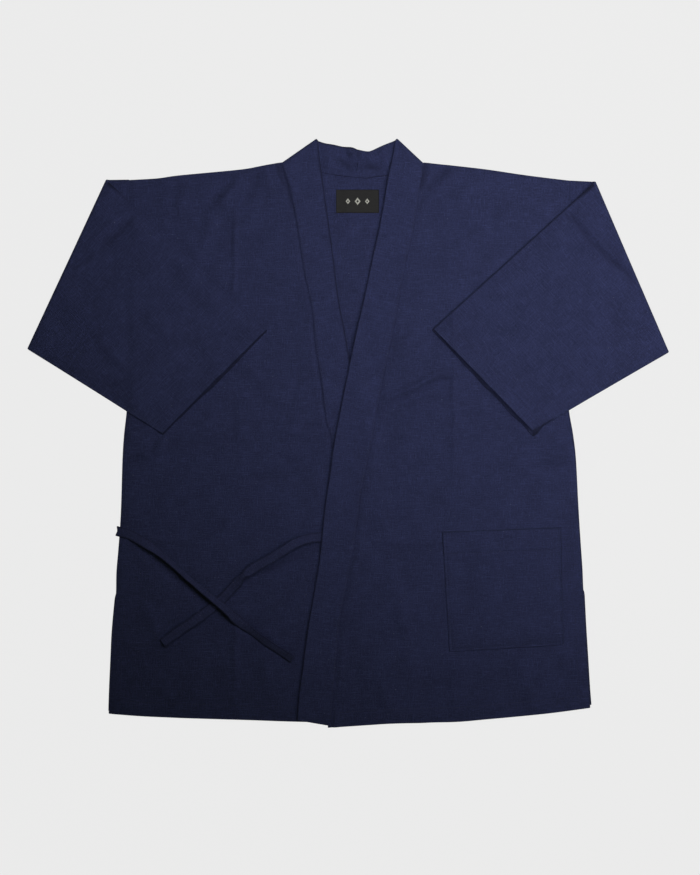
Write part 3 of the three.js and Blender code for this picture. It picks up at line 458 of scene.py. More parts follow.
def hem_rise(x, y, name):
    return HEM_RISE * over_edge(y - read(hem_line[name], x), HEM - 0.4, 1.6)


def right_collar_mid(x, y):
    return back_top(x, y) + AIR + COLLAR_THICK / 2 + collar_relief(x, y)


def held_by_seam(x, y, name):
    return smooth(1 - from_line(x, y, coarse_sewn[name])[0] / HELD)


def right_front_mid(x, y):
    relief = lerp(front_relief(x, y), collar_relief(x, y), held_by_seam(x, y, "right"))
    return back_top(x, y) + AIR + THICK / 2 + seam_lift(x, y, "right") + relief


def left_support(x, y):
    """Top of what lies under the left front: the right front and its collar, or else the back."""
    free = read(free_line["right"], y, 1, 0)
    sewn = read(sewn_line["right"], y, 1, 0)
    panel = right_front_mid(np.minimum(x, sewn - 2), y) + THICK / 2 + hem_rise(x, y, "right")
    collar = right_collar_mid(x, y) + COLLAR_THICK / 2
    right = lerp(panel, np.maximum(panel, collar), over_edge(sewn - x, 7, 20))
    over_right = over_edge(x - free, 6, 24)
    bump = np.hypot(x - TIE_BUMP["x"], y - TIE_BUMP["y"])
    over_tie = TIE_BUMP["rise"] * over_edge(bump, TIE_BUMP["stay"], TIE_BUMP["down"])
    return lerp(back_top(x, y), right, over_right) + over_tie * over_right, over_right


def left_collar_mid(x, y):
    support, over_right = left_support(x, y)
    return support + AIR + COLLAR_THICK / 2 + collar_relief(x, y) * lerp(1, 0.35, over_right)


def left_front_mid(x, y):
    support, over_right = left_support(x, y)
    loose = front_relief(x, y) * lerp(1, 0.6, over_right)
    held = collar_relief(x, y) * lerp(1, 0.35, over_right)
    relief = lerp(loose, held, held_by_seam(x, y, "left"))
    return support + AIR + THICK / 2 + seam_lift(x, y, "left") + relief


front_mid = {"right": right_front_mid, "left": left_front_mid}
collar_mid = {"right": right_collar_mid, "left": left_collar_mid}


# Meshes from grids of points
def mesh_object(name, points, faces, cloth=None, rim=None):
    """An object from points in millimetres and an array of faces, all with the same number of sides."""
    mesh = bpy.data.meshes.new(name)
    mesh.vertices.add(len(points))
    mesh.vertices.foreach_set("co", (points * MM).astype(np.float32).ravel())
    mesh.loops.add(faces.size)
    mesh.loops.foreach_set("vertex_index", faces.astype(np.int32).ravel())
    mesh.polygons.add(len(faces))
    mesh.polygons.foreach_set("loop_start", np.arange(0, faces.size, faces.shape[1], dtype=np.int32))
    mesh.polygons.foreach_set("use_smooth", np.ones(len(faces), bool))
    mesh.update(calc_edges=True)
    if cloth is not None:
        layer = mesh.attributes.new("cloth", "FLOAT_VECTOR", "POINT")
        layer.data.foreach_set("vector", (cloth * MM).astype(np.float32).ravel())
    # rim: how much painted shade darkens each point's colour
    if rim is not None:
        layer = mesh.attributes.new("rim", "FLOAT", "POINT")
        layer.data.foreach_set("value", rim.astype(np.float32).ravel())
    obj = bpy.data.objects.new(name, mesh)
    bpy.context.scene.collection.objects.link(obj)
    return obj


def unit(v):
    return v / np.maximum(np.linalg.norm(v, axis=-1, keepdims=True), 1e-9)


def grid_normals(grid, closed):
    if closed:
        across = np.roll(grid, -1, 1) - np.roll(grid, 1, 1)
    else:
        across = np.gradient(grid, axis=1)
    return unit(np.cross(across, np.gradient(grid, axis=0)))


def grid_faces(ids, closed=False):
    """Four-sided faces between neighbouring entries of a grid of point numbers."""
    if closed:
        ids = np.hstack([ids, ids[:, :1]])
    return np.stack([ids[:-1, :-1], ids[:-1, 1:], ids[1:, 1:], ids[1:, :-1]], -1).reshape(-1, 4)


def end_cap(ring):
    """Faces that close a tube's end, across its ring of point numbers."""
    half = len(ring) // 2
    return grid_faces(np.stack([ring[:half + 1], np.roll(ring[::-1], 1)[:half + 1]]))


def shell(name, grid, cloth, above=THICK / 2, below=THICK / 2, closed=False, shade=0.0):
    """A thin closed cloth wall round a grid of points, with rounded edges."""
    n, m = grid.shape[:2]
    normals = grid_normals(grid, closed)
    outer = grid + normals * np.broadcast_to(above, (n, m))[..., None]
    inner = grid - normals * np.broadcast_to(below, (n, m))[..., None]
    ids = np.arange(n * m).reshape(n, m)
    points, coords = [outer.reshape(-1, 3), inner.reshape(-1, 3)], [cloth.reshape(-1, 3)] * 2
    faces = [grid_faces(ids, closed), grid_faces(ids + n * m, closed)[:, ::-1]]
    if closed:
        edges = [(ids[0], outer[0] - outer[1]), (ids[-1][::-1], (outer[-1] - outer[-2])[::-1])]
    else:
        ring = np.concatenate([ids[0, :-1], ids[:-1, -1], ids[-1, :0:-1], ids[:0:-1, 0]])
        push = np.zeros_like(grid)
        push[0] += unit(grid[0] - grid[1])
        push[-1] += unit(grid[-1] - grid[-2])
        push[:, 0] += unit(grid[:, 0] - grid[:, 1])
        push[:, -1] += unit(grid[:, -1] - grid[:, -2])
        edges = [(ring, push.reshape(-1, 3)[ring])]
    start = 2 * n * m
    for ring, push in edges:
        middle = (points[0][ring] + points[1][ring]) / 2
        half = np.linalg.norm(points[0][ring] - points[1][ring], axis=1, keepdims=True) / 2
        rim = start + np.arange(len(ring))
        points.append(middle + unit(push) * half * 0.8)
        coords.append(coords[0][ring])
        faces.append(grid_faces(np.stack([ring, rim, ring + n * m]), closed=True))
        start += len(ring)
    # Painted shade: full on the rounded edge points, the given shade on both faces.
    rim = np.ones(start)
    rim[:2 * n * m] = np.tile(np.broadcast_to(shade, (n, m)).ravel(), 2)
    obj = mesh_object(name, np.vstack(points), np.vstack(faces), np.vstack(coords), rim)
    return obj, outer, normals


def spaced(length, step, fine_at=(), spread=2.4):
    """Positions from 0 to a length, closer together at both ends and round the places named."""
    marks = [0, 0.7, 1.8, length - 1.8, length - 0.7, length]
    for place in fine_at:
        marks += [place - spread, place - spread / 2, place, place + spread / 2, place + spread]
    marks = np.unique(np.round(marks, 3))
    runs = []
    for a, b in zip(marks, marks[1:]):
        runs.append(np.linspace(a, b, max(1, math.ceil((b - a) / step)), endpoint=False))
    return np.append(np.concatenate(runs), length)


def groove(distance, depth=0.4, wide=1.3):
    return -depth * np.exp(-((distance / wide) ** 2))


# Stitches
stitch_shape = np.array([
    (-1, 0, 0), (-0.55, -1, 0), (0.55, -1, 0), (1, 0, 0), (0.55, 1, 0), (-0.55, 1, 0),
    (-0.5, 0, 1), (0.5, 0, 1), (-0.5, 0, -1), (0.5, 0, -1),
])
stitch_faces = np.array([
    (0, 1, 6), (1, 2, 7), (1, 7, 6), (2, 3, 7), (3, 4, 7), (4, 5, 6), (4, 6, 7), (5, 0, 6),
    (1, 0, 8), (2, 1, 8), (2, 8, 9), (3, 2, 9), (4, 3, 9), (5, 4, 9), (5, 9, 8), (0, 5, 8),
])


def stitches(name, runs, material, long=2.3, pitch=3.0, wide=0.3, proud=0.05):
    """One mesh of thread stitches along runs of points with their normals."""
    points, faces = [], []
    for line, normal in runs:
        run = run_along(line)
        at = np.arange(pitch / 2, run[-1] - pitch / 2, pitch)
        middle, ahead, up = (
            np.stack([np.interp(at + shift, run, values[:, k]) for k in range(3)], 1)
            for values, shift in ((line, 0), (line, 0.5), (normal, 0))
        )
        up, along = unit(up), unit(ahead - middle)
        axes = np.stack([along, unit(np.cross(up, along)), up], 1)
        base = sum(len(p) for p in points) + np.arange(len(at)) * len(stitch_shape)
        local = stitch_shape * (long / 2, wide, wide * 0.8) @ axes + (middle + up * proud)[:, None]
        points.append(local.reshape(-1, 3))
        faces.append((stitch_faces + base[:, None, None]).reshape(-1, 3))
    return dress(mesh_object(name, np.vstack(points), np.vstack(faces)), material)


def dress(obj, material):
    obj.data.materials.append(material)
    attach(obj, "root")
    return obj


# Materials
def tone(colour, share=1.0, lift=0.0):
    """A lighter or darker form of a colour, with its alpha."""
    return (*[c * share + lift for c in colour], 1)


class Nodes:
    """A short way to add, set and link shader nodes."""

    def __init__(self, name):
        self.material = bpy.data.materials.new(name)
        self.material.use_nodes = True
        self.tree = self.material.node_tree

    def feed(self, node, inputs):
        for key, value in inputs.items():
            if isinstance(value, bpy.types.NodeSocket):
                self.tree.links.new(value, node.inputs[key])
            else:
                node.inputs[key].default_value = value

    def add(self, kind, inputs=None, **settings):
        node = self.tree.nodes.new("ShaderNode" + kind)
        for key, value in settings.items():
            setattr(node, key, value)
        self.feed(node, inputs or {})
        return node

    def finish(self, inputs):
        """Sets the shader's own inputs; the material is then ready."""
        self.feed(self.tree.nodes["Principled BSDF"], inputs)
        return self.material

    def attribute(self, name, output):
        return self.add("Attribute", attribute_name=name).outputs[output]

    def math(self, operation, a, b=0.0):
        return self.add("Math", {0: a, 1: b}, operation=operation).outputs[0]

    def streaks(self, vector, size_x, size_y, detail=2.0):
        """Noise drawn out along the threads, between 0 and 1."""
        scaled = self.add("Mapping", {"Vector": vector, "Scale": (1 / (size_x * MM), 1 / (size_y * MM), 1)})
        inputs = {"Vector": scaled.outputs[0], "Scale": 1.0, "Detail": detail, "Roughness": 0.6}
        return self.add("TexNoise", inputs).outputs["Fac"]

    def between(self, value, low, high, to_low=0.0, to_high=1.0):
        inputs = {"Value": value, "From Min": low, "From Max": high, "To Min": to_low, "To Max": to_high}
        return self.add("MapRange", inputs).outputs[0]

    def mix(self, factor, a, b):
        return self.add("Mix", {0: factor, 6: a, 7: b}, data_type="RGBA").outputs[2]

    def bump(self, height, strength, distance):
        return self.add("Bump", {"Height": height, "Strength": strength, "Distance": distance}).outputs[0]


LINT = (0.10, 0.11, 0.16, 1)


def cotton(name, colour=(0.0128, 0.0154, 0.0458), pitch=0.62):
    """Navy plain weave with slubs: uneven threads both ways, faint fading and a few specks of lint, and
    painted shade where the rim attribute is set.
    """
    n = Nodes(name)
    at = n.attribute("cloth", "Vector")
    warp = n.streaks(at, 1.3, 15)
    weft = n.streaks(at, 17, 1.2)
    long_weft = n.streaks(at, 60, 2.2)
    grain = n.streaks(at, 2.0, 2.0)
    mottle = n.streaks(at, 30, 36, 4.0)
    lint = n.between(n.streaks(at, 2.6, 1.7, 0.0), 0.85, 0.88)

    shade = n.mix(n.between(mottle, 0.32, 0.68), tone(colour, 0.88), tone(colour, 1.14))
    dark, light = tone(colour, 0.50), tone(colour, 1.9, 0.0010)
    for threads, low, high, share, towards in (
        (warp, 0.42, 0.25, 0.6, dark), (weft, 0.42, 0.25, 0.65, dark), (grain, 0.47, 0.25, 0.75, dark),
        (warp, 0.55, 0.80, 0.75, light), (weft, 0.55, 0.80, 0.9, light), (long_weft, 0.6, 0.8, 0.5, light),
        (grain, 0.53, 0.75, 0.6, light),
    ):
        shade = n.mix(n.between(threads, low, high, 0.0, share), shade, towards)
    shade = n.mix(n.math("MULTIPLY", lint, 0.5), shade, LINT)
    # Painted shade: where the rim attribute is set, the colour is darkened towards 0.22 of itself.
    shade = n.mix(n.math("MULTIPLY", n.attribute("rim", "Fac"), 0.8), shade, tone(colour, 0.22))

    split = n.add("SeparateXYZ", {0: at})
    turn = math.pi / (pitch * MM)
    over = [n.math("SINE", n.math("MULTIPLY", split.outputs[k], turn)) for k in (0, 1)]
    height = n.math("MULTIPLY", n.math("MULTIPLY", over[0], over[1]), 0.5)
    for threads in (warp, weft):
        height = n.math("ADD", height, n.math("MULTIPLY", threads, 3.0))
    return n.finish({
        "Base Color": shade, "Roughness": n.between(warp, 0.3, 0.7, 0.86, 0.96),
        "Normal": n.bump(height, 0.7, 0.00025), "Specular IOR Level": 0.10,
        "Sheen Weight": 0.06, "Sheen Roughness": 0.5, "Sheen Tint": (0.35, 0.42, 0.9, 1),
    })


def thread_finish(name, colour):
    n = Nodes(name)
    uneven = n.streaks(n.add("NewGeometry").outputs["Position"], 3, 3)
    shade = n.mix(uneven, tone(colour, 0.7), tone(colour))
    return n.finish({"Base Color": shade, "Roughness": 0.7, "Specular IOR Level": 0.15})


def label_finish(name, colour):
    """Dense satin weave of the label, finer one way than the other."""
    n = Nodes(name)
    at = n.attribute("cloth", "Vector")
    rows, lines = n.streaks(at, 9, 0.35), n.streaks(at, 0.4, 5)
    return n.finish({
        "Base Color": n.mix(n.between(rows, 0.3, 0.7), tone(colour, 0.62), tone(colour)), "Roughness": 0.8,
        "Normal": n.bump(n.math("ADD", rows, lines), 0.5, 0.0002), "Specular IOR Level": 0.12,
    })


navy = cotton("navy_cotton_body")
navy_collar = cotton("navy_cotton_collar", colour=(0.0132, 0.0159, 0.0475))
navy_tie = cotton("navy_cotton_tie", colour=(0.0128, 0.0150, 0.0440), pitch=0.55)
sewing = thread_finish("navy_thread", (0.0125, 0.0142, 0.0430))


# Body panels
def row_of(positions, at):
    return int(np.argmin(np.abs(positions - at)))


def runs_at(outer, normals, *places):
    """Runs for stitches: the points and normals of a surface along each of the places named."""
    return [(outer[place], normals[place]) for place in places]


def reach(distance_from_turnover):
    return lerp(1.0, SEAM_REACH, smooth((distance_from_turnover - 3) / 30))


def make_back():
    across = spaced(BACK_WIDTH, BACK_STEP) + BACK_START
    v = (spaced(PANEL_LENGTH, BACK_STEP) / PANEL_LENGTH)[:, None]
    turnover = np.minimum(across - neck_seam[0, 0], neck_seam[-1, 0] - across)
    in_neck = turnover > 0
    top = np.where(in_neck, read(neck_seam, across) + reach(turnover), both(shoulder_line, across) - 0.3)
    level = lerp(BODY_FOOT, BODY_TOP, v)
    inset = 0.5 - 0.7 * smooth((VENT_TOP - level) / 6)
    share = (across - across[0]) / (across[-1] - across[0])
    x = lerp(side_x("right", level) + inset, side_x("left", level) - inset, share)
    y = lerp(both(hem_line, x) + BACK_SHORTER, top, v)
    # The side seams close upwards to meet the fronts between armpit and vent, and at the shoulders.
    z = back_mid(x, y) + 0.8 * (1 - smooth(inside_body(x, y) / 1.6)) * side_closed(y)
    z = z + 0.7 * (1 - smooth((top - y) / 1.6)) * ~in_neck
    grid = np.stack([x, y, z], -1)
    return shell("back_cloth", grid, grid * (1, 1, 0))[0]


def make_front(name):
    """A front panel. Its columns run from the side to the collar seam, in millimetres from the side."""
    side = SIDES_OF_BODY[name]
    sewn = sewn_line[name]
    head, foot = sewn[0], sewn[-1]
    top_y = float(read(shoulder_line[name], side_x(name, BODY_TOP)))
    low_y = float(read(hem_line[name], side_x(name, HEM_LEVEL)))
    seam_at = FRONT_WIDTH - SEAM_REACH
    rows = spaced(PANEL_LENGTH, FRONT_STEP, fine_at=[HEM])
    cols = spaced(FRONT_WIDTH, FRONT_STEP, fine_at=[VENT_HEM, seam_at - 1.5])
    v, share = (rows / PANEL_LENGTH)[:, None], cols / FRONT_WIDTH
    outer_y = lerp(low_y, top_y, v)
    outer_x = side_x(name, outer_y) - side * 0.5
    inner_y = lerp(foot[1] + 0.6, head[1] + 2.0, v)
    seam_x = read(sewn, inner_y, 1, 0)
    inner_x = seam_x - side * reach(np.hypot(seam_x - head[0], inner_y - head[1]))
    x = lerp(outer_x, inner_x, share)
    hem_bow = read(hem_line[name], x) - lerp(outer_y[0], inner_y[0], share)
    top_bow = read(shoulder_line[name], x) - lerp(outer_y[-1], inner_y[-1], share)
    y = lerp(outer_y, inner_y, share) + hem_bow * smooth(1 - v / 0.2) + top_bow * smooth((v - 0.85) / 0.15)

    from_hem, from_side = np.broadcast_arrays(rows[:, None], cols[None])
    in_vent = smooth((VENT_TOP + 4 - y) / 8)
    free_of_collar = smooth((seam_at - 1 - from_side) / 2)
    rise = HEM_RISE * over_edge(from_hem, HEM - 0.6, 1.4)
    vent = HEM_RISE * over_edge(from_side, VENT_HEM - 0.6, 1.4) * in_vent
    extra = np.maximum(rise, vent) * free_of_collar
    hem_wave = 0.25 * thread(x, y * 0, 9) * np.exp(-np.abs(from_hem - HEM) / 8)
    z = front_mid[name](x, y) + groove(from_hem - HEM + HEM_STITCH, 0.35)
    z = z + groove(from_side - VENT_HEM + HEM_STITCH, 0.3) * in_vent + hem_wave * free_of_collar
    z = z - 0.55 * (1 - smooth(from_side / 2.2)) * side_closed(y)
    z = z - 0.5 * (1 - smooth((PANEL_LENGTH - from_hem) / 2.2))
    grid = np.stack([x, y, z], -1)
    # Painted shade: in the valley beside the collar seam, unevenly along it, and in the creases' troughs.
    uneven = 1 + 0.8 * thread(y, y * 0, 9)
    shade = SEAM_SHADE * uneven * smooth(1 - (seam_at - from_side) / 5) + crease_shade(x, y, CREASES)

    hem_row, vent_col = row_of(rows, HEM - HEM_STITCH), row_of(cols, VENT_HEM - HEM_STITCH)
    inner = slice(4, -8)
    if side > 0:
        grid, extra, shade = grid[:, ::-1], extra[:, ::-1], shade[:, ::-1]
        vent_col, inner = len(cols) - 1 - vent_col, slice(8, -4)
    cloth = grid * (1, 1, 0)
    obj, outer, normals = shell(f"front_{name}_cloth", grid, cloth, THICK / 2 + extra, shade=shade)
    vent_rows = slice(4, int((grid[:, vent_col, 1] < VENT_TOP + 2).sum()))
    return obj, runs_at(outer, normals, (hem_row, inner), (vent_rows, vent_col))


# Collar
ROUNDING = np.array([(0, 0), (0.15, 0.42), (0.5, 0.74), (1.1, 0.93), (2.0, 1.0)])
TAIL = np.array([(4.0, 1.0), (2.6, 0.97), (1.2, 0.84), (0.4, 0.66)])
INNER = np.arange(4.2, 44, 2.4)
INNER_FOR = 46.0  # the width of collar that the places in INNER are meant for
TURN_STEPS = 8
NECK_STEP, COLLAR_STEP = 3.0, 3.4


def collar_section(width):
    """Distances from the free edge and from the middle, round the folded band's section."""
    half, lip = COLLAR_THICK / 2, SLOT / 2
    across = INNER / INNER_FOR * (width - 4)
    flat = np.column_stack([across, across * 0 + 1])
    top = np.vstack([ROUNDING, flat, TAIL * (-1, 1) + (width, 0)]) * (1, half)
    slot = np.array([(width, lip + 0.15), (width - 0.3, lip), (width - SLOT_DEPTH, lip)])
    upper = np.vstack([top, slot])
    return np.vstack([upper, (upper[::-1] * (1, -1))[:-1]])


def make_collar(name):
    """One half of the collar: it stands behind the neck, turns over at its top and runs down the front."""
    mid, low = collar_mid[name], COLLAR_THICK / 2
    names = ("free_x", "free_y", "sewn_x", "sewn_y")
    neck = even(flow(neck_table[name], *names), NECK_STEP)
    front = even(flow(collar_table[name], *names), COLLAR_STEP)
    corner = front[0]
    stations = [(row, "neck", 0.0) for row in neck]
    stations += [(corner, "turn", math.pi * k / TURN_STEPS) for k in range(1, TURN_STEPS)]
    stations += [(row, "front", math.pi) for row in front]
    first_front = len(neck) + TURN_STEPS - 1
    across = unit(corner[2:] - corner[:2])
    out = np.array([-across[1], across[0]])
    out = out if out[1] > 0 else -out
    middle, section = [], []
    for row, kind, angle in stations:
        free, sewn = row[:2], row[2:]
        width = np.linalg.norm(sewn - free)
        ring = collar_section(width)
        plan = free + (sewn - free) * (ring[:, :1] / width)
        radius = (mid(plan[:, 0], plan[:, 1]) - low) / 2
        from_turn = np.linalg.norm(free - corner[:2])
        setback = radius * (math.sin(angle) - smooth(1 - from_turn / 30))
        plan = plan + out * setback[:, None]
        x, y = plan.T
        if kind == "neck":
            creases = CREASE_DEPTH["neck"] * crease_height(x, y, NECK_CREASES)
            wave = above_zero(0.5 + 0.5 * fine(x, y, 19) + creases, 2.4)
            z = low + wave * smooth(ring[:, 0] / 7) * smooth(from_turn / 14)
        elif kind == "turn":
            z = low + radius * (1 - math.cos(angle))
        else:
            z = mid(x, y)
        middle.append(np.column_stack([plan, z]))
        section.append(ring)
    middle, section = np.stack(middle), np.stack(section)
    along = np.gradient(middle, axis=0)
    free_to_sewn = unit(middle[:, len(ROUNDING) + len(INNER)] - middle[:, 0])
    normals = unit(np.cross(np.broadcast_to(free_to_sewn[:, None], along.shape), along))
    if normals[-1, :, 2].mean() < 0:
        normals = -normals
    surface = middle + normals * section[..., 1:]
    ids = np.arange(surface[..., 0].size).reshape(surface.shape[:2])
    faces = [grid_faces(ids, closed=True), end_cap(ids[0]), end_cap(ids[-1])]

    free_edge = middle[:, :1]
    ahead = unit(np.gradient(free_edge, axis=0))
    along_band = run_along(middle[:, 0])[:, None] + ((middle - free_edge) * ahead).sum(-1)
    from_free = section[..., 0]
    cloth = np.stack([from_free, along_band, 0 * from_free], -1)
    sewn_edge = len(ROUNDING) + len(INNER) + len(TAIL)
    from_sewn = from_free[:, sewn_edge:sewn_edge + 1] - from_free
    # Painted shade: a dark line along the free edge, another along the sewn edge and its seam valley, twice
    # as dark behind the neck and uneven along the band, and shade in the creases' troughs.
    free_shade = smooth(1 - from_free / FREE_EDGE_SHADE[name])
    sewn_shade = 0.45 * smooth(1 - from_sewn / 1.0) + SEAM_SHADE * smooth(1 - from_sewn / 4.5)
    sewn_shade[:len(neck)] *= 2
    uneven = 1 + 0.6 * thread(along_band, along_band * 0, 11)
    creased = crease_shade(middle[..., 0], middle[..., 1], NECK_CREASES)
    creased[len(neck):] = 0.7 * crease_shade(middle[len(neck):, :, 0], middle[len(neck):, :, 1], CREASES)
    rim = np.minimum(np.maximum(free_shade, sewn_shade * uneven) + creased, 1)
    points, coords = surface.reshape(-1, 3), cloth.reshape(-1, 3)
    obj = mesh_object(f"collar_{name}_cloth", points, np.vstack(faces), coords, rim)
    fix_faces(obj)
    near_sewn = len(ROUNDING) + len(INNER) + 1
    return obj, runs_at(surface, normals, (slice(first_front + 2, None), near_sewn))


SHARP_ANGLE = math.radians(62)


def fix_faces(obj):
    """Removes faces with no area, turns the rest outwards and keeps square edges crisp."""
    bm = bmesh.new()
    bm.from_mesh(obj.data)
    bmesh.ops.dissolve_degenerate(bm, dist=1e-7, edges=bm.edges)
    bmesh.ops.recalc_face_normals(bm, faces=bm.faces)
    for edge in bm.edges:
        edge.smooth = len(edge.link_faces) != 2 or edge.calc_face_angle() < SHARP_ANGLE
    bm.to_mesh(obj.data)
    bm.free()


# Sleeves
BODY_ROWS = 12  # rows of points from the armhole to the crease


def make_sleeve(name):
    """A sleeve: a flat tube from the armhole, turned over along a slanting crease to its cuff."""
    lay, side = SLEEVES[name], SIDES_OF_BODY[name]
    low, high = LAYER_LOW, LAYER_HIGH
    edge_radius = (high - low) / 2
    arc = math.pi * (CREASE_AXIS - (low + high) / 2)
    top, bottom = np.array(lay["crease_top"]), np.array(lay["crease_bottom"])
    down = unit(bottom - top)
    out = np.array([-down[1], down[0]])
    out = out if out[0] * side > 0 else -out
    start, start_low = (p - out * (CREASE_AXIS - low + THICK / 2) for p in (top, bottom))

    def unfold(p):
        return p + out * (arc - 2 * ((p - start) @ out))

    armhole = [np.array([float(side_x(name, y)) - side * 0.8, y]) for y in lay["armhole_y"]]
    cuff = [unfold(np.array(lay[k])) for k in ("cuff_top", "cuff_bottom")]
    top_dir = unit(cuff[0] - start)

    # Rows from the armhole to the cuff, as the places a and b of their two ends
    length = np.linalg.norm(cuff[0] - start)
    bent = np.linspace(0, arc * 1.3, 10)
    steps = spaced(length, SLEEVE_STEP, fine_at=[length - CUFF_HEM])
    steps = np.concatenate([bent[1:], steps[steps > bent[-1] + 1]])
    to_crease, to_cuff = np.linspace(0, 1, BODY_ROWS)[:, None], (steps / length)[:, None]
    a = np.vstack([lerp(armhole[0], start, to_crease), lerp(start, cuff[0], to_cuff)])
    b = np.vstack([lerp(armhole[1], start_low, to_crease), lerp(start_low, cuff[1], to_cuff)])
    from_cuff = np.concatenate([np.full(BODY_ROWS, length), length - steps])[:, None]

    # Positions round the tube: across the upper layer, round the underarm edge, back, round the top edge
    across = spaced(100, 1.35)[:, None] / 100
    bend = np.radians([18, 54, 90, 126, 162])[:, None]
    share = np.vstack([across, 0 * bend + 1, across[::-1], 0 * bend])[:, 0]
    off = edge_radius * np.vstack([0 * across, np.sin(bend), 0 * across, -np.sin(bend[::-1])])[:, 0]
    height = np.vstack([
        across * 0 + high, low + edge_radius * (1 + np.cos(bend)),
        across * 0 + low, low + edge_radius * (1 + np.cos(bend[::-1])),
    ])[:, 0]
    direction = unit(b - a)[:, None]
    width = np.linalg.norm(b - a, axis=1)[:, None]
    plan = a[:, None] + (b - a)[:, None] * share[:, None] + direction * off[:, None]
    z0 = np.broadcast_to(height, plan.shape[:2])
    # The lower layer, once turned, reaches past the upper one at the cuff.
    layer = (high - z0) / (high - low)  # 0 for the layer that lies lowest once turned, 1 for the upper
    is_lower = smooth(1 - layer)
    near_cuff = 1 - smooth(from_cuff / 40)
    bulge = 0.35 + 0.65 * np.exp(-(((share - lay["lift_at"]) / lay["lift_wide"]) ** 2))
    reaching = bulge * (1 + 0.3 * fine(share * WIDEST_CUFF, share * 0, 26))
    plan = plan + top_dir * (lay["over_cuff"] * reaching * is_lower * near_cuff)[..., None]
    at_low_corner = is_lower * near_cuff * smooth((share - 0.8) / 0.2) * smooth(1.5 - from_cuff / 24)
    plan = plan + direction * (lay["corner_peek"] * at_low_corner)[..., None]

    s = (plan - start) @ out
    radius = CREASE_AXIS - z0
    angle = np.clip(math.pi * s / arc, 0, math.pi)
    turned = plan + out * np.where(s < arc, radius * np.sin(angle) - s, arc - 2 * s)[..., None]
    flat = s <= 0
    x, y = np.where(flat, plan[..., 0], turned[..., 0]), np.where(flat, plan[..., 1], turned[..., 1])
    past = np.maximum(s - arc, 0)

    # Rest height of the turned part: on the front, or near the floor beside the body
    outside = side * (x - side_x(name, y))
    arm = bottom - armhole[1]
    below = side * ((x - armhole[1][0]) * arm[1] - (y - armhole[1][1]) * arm[0]) / np.linalg.norm(arm)
    on_front = front_mid[name](np.clip(x, -BODY_REACH, BODY_REACH), y) + THICK / 2
    rest = lerp(on_front, high + THICK / 2, smooth((outside + 6) / 12))
    rest = lerp(rest, SURFACE_GAP, 1 - over_edge(np.minimum(outside, below), 5, 22))
    from_top_edge, from_low_edge = share * width, (1 - share) * width
    edge_away = np.minimum(from_top_edge, from_low_edge)
    puff = above_zero(1.7 + 0.9 * broad(x, y, 80) + 0.35 * fine(x, y, 27))
    puff = puff * smooth((edge_away + 1) / 16) * smooth((from_cuff + 10) / 30)
    creases = CREASE_DEPTH["sleeve"] * crease_height(x, y, SLEEVE_CREASES)
    creases = np.maximum(creases, -0.3 - puff) * smooth((edge_away - 1) / 12) * smooth(past / 5)
    open_cuff = lay["lift"] * np.exp(-from_cuff / 16) * bulge * smooth((edge_away + 2) / 14)
    pinch = lerp(lay["pinch"], 1, smooth((from_top_edge - 2) / 16))
    resting = rest + AIR * pinch + THICK / 2 + layer * (2 * edge_radius * pinch + puff + open_cuff)
    z_turned = lerp(CREASE_AXIS + radius, resting, smooth(past / SLEEVE_SETTLE))
    # Beside the crease the turned part never dips into what it rests on.
    z_turned = np.maximum(z_turned, resting) + layer * creases
    z_bend = CREASE_AXIS - radius * np.cos(angle)
    z = np.where(flat, z0, np.where(s < arc, z_bend, z_turned))
    z = z + groove(from_cuff - CUFF_HEM, 0.35) * layer * (s > arc)

    grid = np.stack([x, y, z], -1)
    flat_cut = plan @ np.array([[top_dir[0], -top_dir[1]], [top_dir[1], top_dir[0]]])
    cloth = np.dstack([flat_cut[..., 1], flat_cut[..., 0], 0 * x])
    # Painted shade: on the lower layer inside the cuff, along the top edge of the turned part widening into
    # a dark mark near the crease, along the underarm edge near the cuff, and in the upper layer's crease
    # troughs.
    inside_shade = lay["inside_shade"] * is_lower * (1 - smooth(from_cuff / 16))
    at_corner = np.exp(-((past / 24) ** 2))
    edge_shade = (lay["edge_shade"] + at_corner) * smooth(1 - from_top_edge / (1.7 + 3.5 * at_corner))
    over_body = 1 - smooth((from_cuff - 40) / 12)
    edge_shade = edge_shade + lay["low_edge_shade"] * over_body * smooth(1 - from_low_edge / 2.2)
    creased = crease_shade(x, y, SLEEVE_CREASES) * layer
    shade = np.minimum(inside_shade + (edge_shade + creased) * (s > arc), 1)
    obj, outer, normals = shell(f"sleeve_{name}_cloth", grid, cloth, closed=True, shade=shade)
    fix_faces(obj)
    upper = np.where((height < low + 0.05) & (share > 0.01) & (share < 0.99))[0]
    return obj, runs_at(outer, normals, (row_of(from_cuff, CUFF_HEM), upper))


